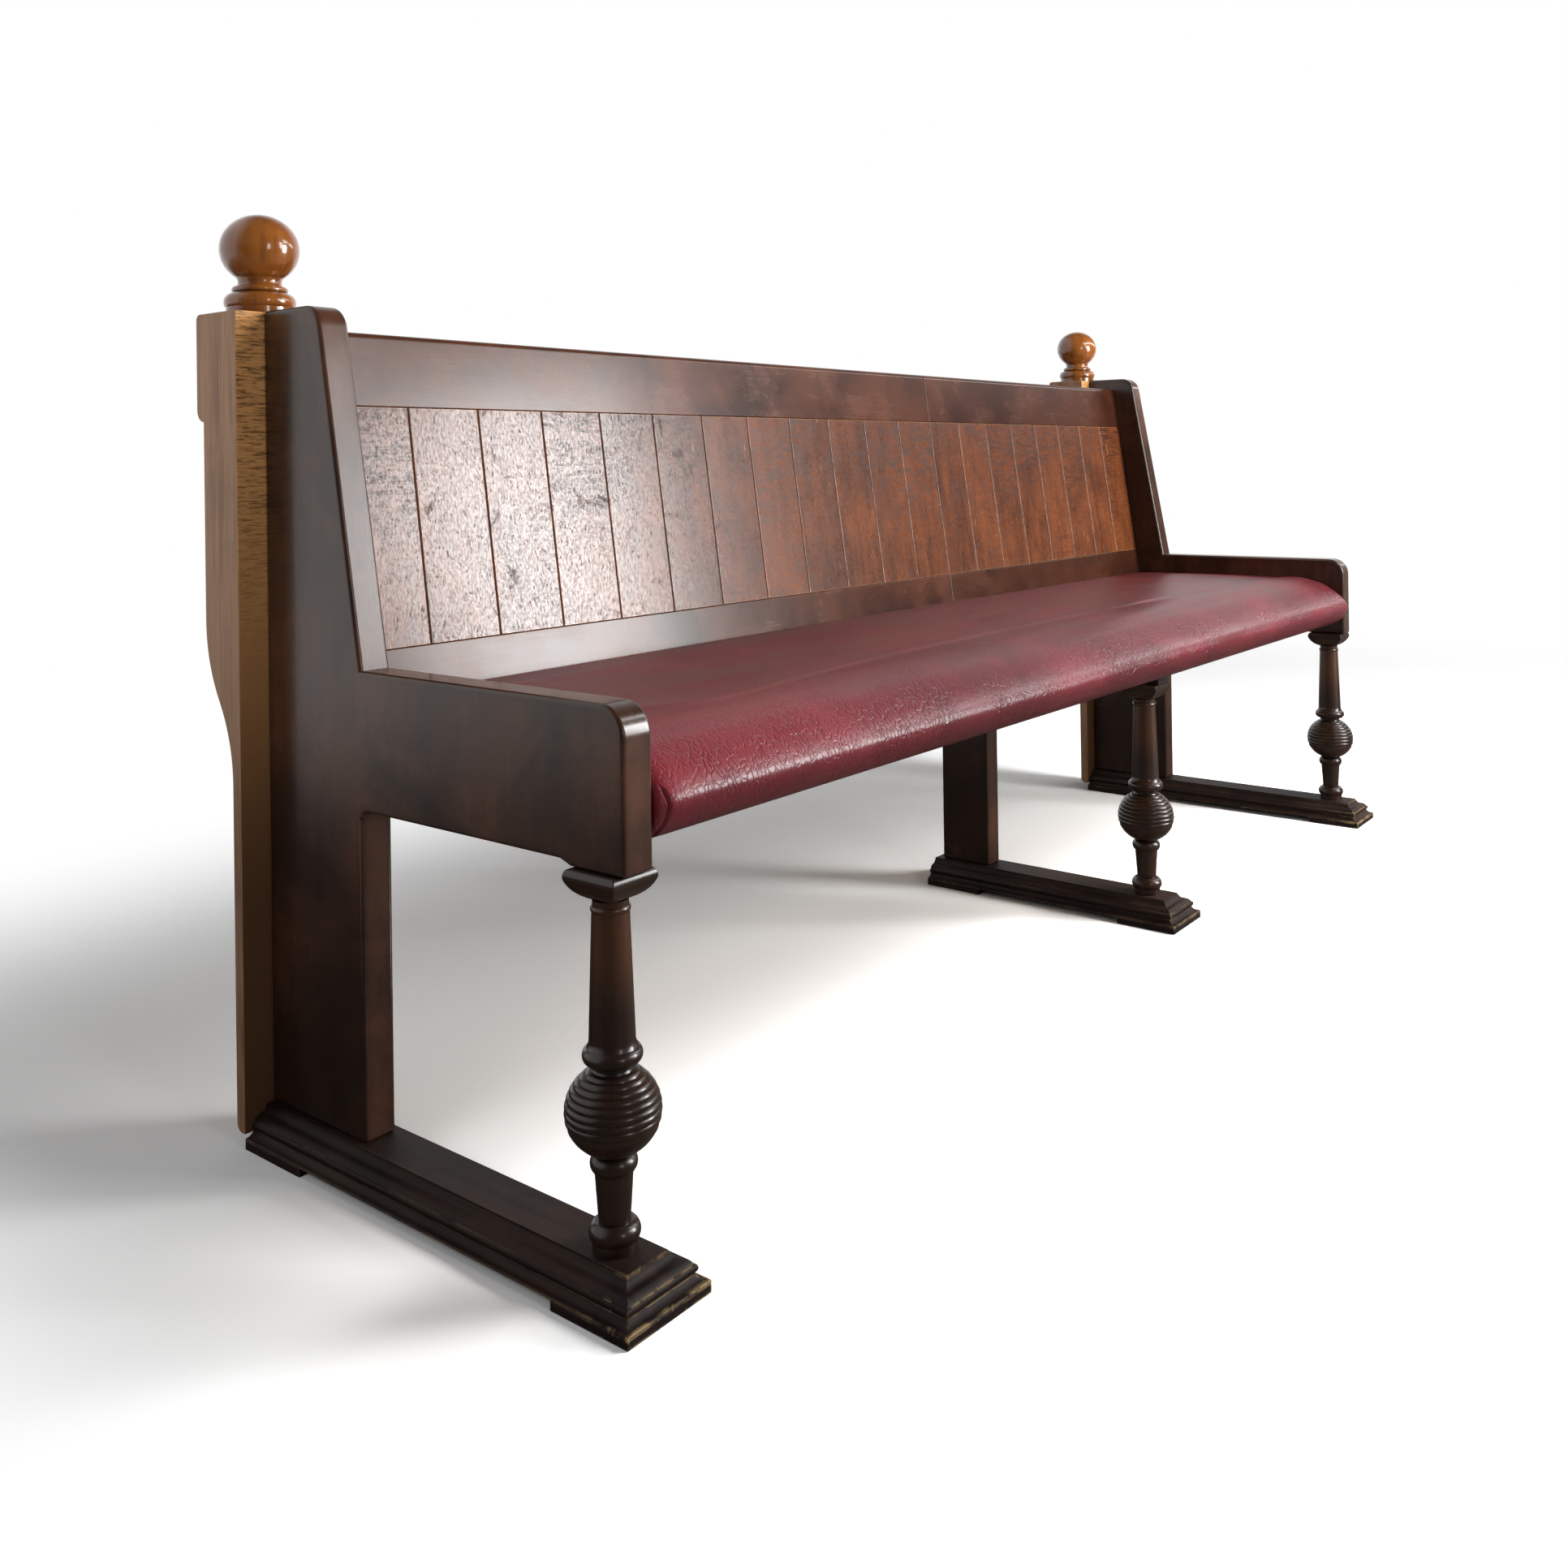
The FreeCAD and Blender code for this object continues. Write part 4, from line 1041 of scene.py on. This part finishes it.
def rounded(piece, low, high, sizes):
    """Rounds the nose and the shoulder, and pads the nose out again by what the rounding took off."""
    nose = piece.vertex_groups.new(name="nose")
    shoulder = piece.vertex_groups.new(name="shoulder")
    for vertex in piece.data.vertices:
        back = vertex.co.y - low.y
        ends = min(vertex.co.x - low.x, high.x - vertex.co.x)
        height = eased((vertex.co.z - low.z - sizes.lip_height) / sizes.nose_fade)
        nose.add([vertex.index], height * eased((sizes.nose_depth - back) / sizes.nose_fade), "REPLACE")
        near = eased(1 - abs(back - sizes.shoulder_depth) / sizes.shoulder_spread)
        shoulder.add([vertex.index], near * eased(ends / sizes.nose_fade - END_MARGIN), "REPLACE")
    evened(piece, NOSE_ROUNDS, "nose")
    evened(piece, SHOULDER_ROUNDS, "shoulder")
    pad = piece.modifiers.new("Pad", "DISPLACE")
    pad.vertex_group = "nose"
    pad.mid_level = 0
    pad.strength = sizes.nose_pad
    baked(piece)
    piece.vertex_groups.clear()


def cover_freedom(mesh, low, high, seat_top, lip_height):
    """How freely each point of the cover moves: 0 where it is held, 1 on the open top and front."""
    free = []
    for vertex in mesh.vertices:
        ends = min(vertex.co.x - low.x, high.x - vertex.co.x) / END_HOLD
        rear = (high.y - vertex.co.y) / REAR_HOLD
        under = (vertex.co.z - seat_top) / UNDER_HOLD
        if vertex.co.y < low.y + FRONT_DEPTH:
            under = (vertex.co.z - low.z - lip_height) / FRONT_HOLD
        free.append(max(0.0, min(1.0, ends, rear, under)))
    return free


def filled(piece, free, sizes):
    """Draws the cover in a little and lets cloth pressure fill it, with a cap on how far it moves."""
    mesh = piece.data
    normals = [vertex.normal.copy() for vertex in mesh.vertices]
    for vertex, normal, share in zip(mesh.vertices, normals, free):
        vertex.co -= normal * sizes.seat_slack * share
    start = [vertex.co.copy() for vertex in mesh.vertices]
    held = piece.vertex_groups.new(name="held")
    for number, share in enumerate(free):
        held.add([number], 1 - share, "REPLACE")
    cloth = piece.modifiers.new("Cloth", "CLOTH").settings
    cloth.vertex_group_mass = "held"
    cloth.use_pressure = True
    cloth.uniform_pressure_force = PRESSURE
    cloth.effector_weights.gravity = 0
    cloth.tension_stiffness = TENSION
    cloth.bending_stiffness = BENDING
    scene = bpy.context.scene
    for number in range(CLOTH_FRAMES):
        scene.frame_set(number + 1)
    evaluated = piece.evaluated_get(bpy.context.evaluated_depsgraph_get())
    moved = [vertex.co.copy() for vertex in evaluated.data.vertices]
    piece.modifiers.clear()
    piece.vertex_groups.clear()
    scene.frame_set(1)
    for vertex, place, home, normal, share in zip(mesh.vertices, moved, start, normals, free):
        step = place - home
        out = step.dot(normal)
        aside = step - normal * out
        if aside.length > sizes.seat_drift:
            aside *= sizes.seat_drift / aside.length
        most = sizes.seat_slack + sizes.seat_swell * (0.5 + 0.5 * noise.noise(home * SWELL_SCALE))
        vertex.co = home + aside + normal * share * max(sizes.seat_slack, min(most, out))


def settled(mesh, low, high, sizes):
    """Keeps the cover inside its room between the panels, the back and the seat frame."""
    lean = math.tan(sizes.back_lean)
    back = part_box("left_bottom_rail")[0]
    room = sizes.seat_clearance
    for vertex in mesh.vertices:
        vertex.co.x = max(low.x + room, min(high.x - room, vertex.co.x))
        face = back.y + (vertex.co.z - back.z) * lean - room
        vertex.co.y = min(vertex.co.y, face)
        vertex.co.z = max(vertex.co.z, low.z)
    shape = bmesh.new()
    shape.from_mesh(mesh)
    bmesh.ops.subdivide_edges(shape, edges=shape.edges, cuts=1, use_grid_fill=True, smooth=SMOOTHING)
    unloaded(shape, mesh).shade_smooth()


def tucked(mesh, low, high, sizes):
    """Presses a tuck into the nose at each end, where the cover is folded round the corner."""
    shape = bmesh.new()
    shape.from_mesh(mesh)
    band = sizes.tuck_inset * TUCK_BAND

    def inset(vertex):
        return min(vertex.co.x - low.x, high.x - vertex.co.x)

    def on_nose(vertex):
        front = eased((low.y + TUCK_REACH - vertex.co.y) / TUCK_REACH_FADE)
        return eased((sizes.tuck_top - vertex.co.z) / TUCK_FADE) * front

    for cut in range(TUCK_CUTS):
        near = [edge for edge in shape.edges
                if all(inset(end) < band and on_nose(end) > 0 for end in edge.verts)]
        bmesh.ops.subdivide_edges(shape, edges=near, cuts=1, use_grid_fill=True)
    shape.normal_update()
    for vertex in shape.verts:
        nose = on_nose(vertex)
        if nose and inset(vertex) < band:
            bow = TUCK_BOW * math.sin((sizes.tuck_top - vertex.co.z) * TUCK_BOW_TURN)
            off = (inset(vertex) - sizes.tuck_inset - bow) / sizes.tuck_width
            depth = sizes.tuck_depth * math.exp(-off * off)
            if off < 0:
                depth = max(depth, sizes.tuck_depth * TUCK_PRESS)
            vertex.co -= vertex.normal * depth * nose
    unloaded(shape, mesh).shade_smooth()


class BENCH_OT_cushion(bpy.types.Operator):
    """Vinyl seat, filled by a cloth simulation"""

    bl_idname = "bench.cushion"
    bl_label = "Seat cushion"

    def execute(self, context):
        sizes, colours = choices(context)
        low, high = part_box("seat_cushion")
        vinyl = seat_vinyl("seat_vinyl", colours, sizes)
        mesh = unloaded(merged("seat_cushion"), bpy.data.meshes.new("seat_cushion"))
        cushion = keep("seat_cushion.dressed", mesh, vinyl, ["seat_cushion"], False)
        remeshed(cushion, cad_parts["seat_cushion"], sizes.seat_voxel)
        rounded(cushion, low, high, sizes)
        seat_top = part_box("seat_panel")[1].z
        free = cover_freedom(cushion.data, low, high, seat_top, sizes.lip_height)
        filled(cushion, free, sizes)
        settled(cushion.data, low, high, sizes)
        tucked(cushion.data, low, high, sizes)
        repainted(cushion.data, vinyl)
        return {"FINISHED"}


def area_light(name, place, target, width, height, power, mirrored):
    """Soft rectangular lamp that faces a point. Gloss may leave it out."""
    lamp = bpy.data.lights.new(name, "AREA")
    lamp.shape = "RECTANGLE"
    lamp.size = width
    lamp.size_y = height
    lamp.energy = power
    holder = placed(name, lamp)
    holder.visible_glossy = mirrored
    holder.visible_camera = False
    holder.location = place
    holder.rotation_euler = (Vector(target) - Vector(place)).to_track_quat("-Z", "Y").to_euler()


def rays(graph):
    """Shares of the light path: seen straight, in gloss and through glass."""
    outputs = graph.node("ShaderNodeLightPath").socket.node.outputs
    return [Value(graph, outputs["Is %s Ray" % kind]) for kind in ("Camera", "Glossy", "Transmission")]


def larger(first, second):
    """The larger of two values."""
    return first.math("MAXIMUM", first, second)


def facing(graph, toward, direction, low, high):
    """Soft share of the directions that lie near one direction."""
    return graph.step(graph.vector_math("DOT_PRODUCT", toward, direction, out="Value"), low, high)


def studio_glow(graph, studio):
    """White for the camera and for glass. Gloss sees the white backdrop, a pale wall and a dim room."""
    straight, gloss, glass = rays(graph)
    toward = graph.node("ShaderNodeTexCoord", out="Generated")
    backdrop = facing(graph, toward, *BACKDROP)
    wall = facing(graph, toward, *LEFT_WALL)
    mirrored = gloss * (studio.room + wall * (studio.wall - studio.room) + backdrop * (1 - studio.room))
    plain = (1 - gloss) * studio.ambient
    return larger(larger(straight, glass), mirrored + plain)


def studio_floor(studio, colours):
    """Pale floor with the bench's shadow. It turns white far off, behind and past the left end."""
    finish = Finish("studio_floor")
    straight, gloss, glass = rays(finish)
    pale = (studio.floor_lift, studio.floor_lift, studio.floor_lift, 1)
    colour = finish.blend(straight, finish.blend(gloss, colours.floor, colours.floor_gloss), pale)
    matt = finish.node("ShaderNodeBsdfDiffuse", None, {"Color": colour})
    white = finish.node("ShaderNodeEmission", None, {"Color": WHITE, "Strength": 1.0})
    heading = finish.vector_math("NORMALIZE", finish.place)
    mirrored = gloss * larger(facing(finish, heading, *BACKDROP), facing(finish, heading, *LEFT_WALL))
    past = finish.step(finish.vector_math("LENGTH", finish.place, out="Value"), *FLOOR_FAR)
    rear = finish.along("Y", *FLOOR_REAR) * straight
    aside = (1 - finish.along("X", FLOOR_LEFT[1], FLOOR_LEFT[0])) * straight
    far = larger(larger(rear, aside), past * larger(larger(straight, mirrored), glass))
    mixed = finish.node("ShaderNodeMixShader", None, {0: far, 1: matt, 2: white})
    finish.node("ShaderNodeOutputMaterial", None, {"Surface": mixed})
    shape = bmesh.new()
    bmesh.ops.create_circle(shape, cap_ends=True, segments=FLOOR_SIDES, radius=FLOOR_RADIUS)
    mesh = unloaded(shape, bpy.data.meshes.new("studio_floor"))
    mesh.materials.append(finish.material)
    placed("studio_floor", mesh)


class BENCH_OT_stage(bpy.types.Operator):
    """Floor, lamps, white studio and camera"""

    bl_idname = "bench.stage"
    bl_label = "Studio"

    def execute(self, context):
        scene = context.scene
        studio = scene.bench_studio
        scene.view_settings.view_transform = "Standard"
        studio_floor(studio, scene.bench_colours)
        for name, place, target, width, height, mirrored in LAMPS:
            area_light(name, place, target, width, height, getattr(studio, name), mirrored)
        world = bpy.data.worlds.new("studio")
        scene.world = world
        world.use_nodes = True
        world.node_tree.nodes.clear()
        graph = Graph(world.node_tree)
        strength = studio_glow(graph, studio)
        light = graph.node("ShaderNodeBackground", None, {"Color": WHITE, "Strength": strength})
        graph.node("ShaderNodeOutputWorld", None, {"Surface": light})
        scene.camera = self.camera(studio)
        return {"FINISHED"}

    def camera(self, studio):
        """Camera that sees the bench past its left end."""
        right = Vector(CAMERA_RIGHT)
        up = Vector(CAMERA_UP)
        lens = bpy.data.cameras.new("camera")
        lens.sensor_width = SENSOR_WIDTH
        lens.lens = studio.lens
        lens.shift_x = LENS_ASIDE
        lens.shift_y = studio.lens_rise
        turn = Matrix((right, up, right.cross(up))).transposed().to_4x4()
        holder = placed("camera", lens)
        holder.matrix_world = Matrix.Translation(CAMERA_PLACE) @ turn
        return holder


OPERATORS = (
    BENCH_OT_end_frames,
    BENCH_OT_posts,
    BENCH_OT_turnings,
    BENCH_OT_feet,
    BENCH_OT_back,
    BENCH_OT_underframe,
    BENCH_OT_screws,
    BENCH_OT_cushion,
    BENCH_OT_stage,
)


class BENCH_PT_sidebar(bpy.types.Panel):
    """Lists the bench's operators"""

    bl_label = "Brasserie bench"
    bl_idname = "BENCH_PT_sidebar"
    bl_space_type = "VIEW_3D"
    bl_region_type = "UI"
    bl_category = "Bench"

    def draw(self, context):
        for operator in OPERATORS:
            self.layout.operator(operator.bl_idname)


CLASSES = (BenchSizes, BenchColours, BenchStudio) + OPERATORS + (BENCH_PT_sidebar,)


def register():
    """Makes the settings, the operators and the panel known."""
    for item in CLASSES:
        bpy.utils.register_class(item)
    bpy.types.Scene.bench_sizes = PointerProperty(type=BenchSizes)
    bpy.types.Scene.bench_colours = PointerProperty(type=BenchColours)
    bpy.types.Scene.bench_studio = PointerProperty(type=BenchStudio)


def unregister():
    """Takes them out again."""
    del bpy.types.Scene.bench_studio
    del bpy.types.Scene.bench_colours
    del bpy.types.Scene.bench_sizes
    for item in reversed(CLASSES):
        bpy.utils.unregister_class(item)


def main():
    """Dresses the bench piece by piece."""
    register()
    for operator in OPERATORS:
        group, name = operator.bl_idname.split(".")
        getattr(getattr(bpy.ops, group), name)()


if __name__ == "__main__":
    main()
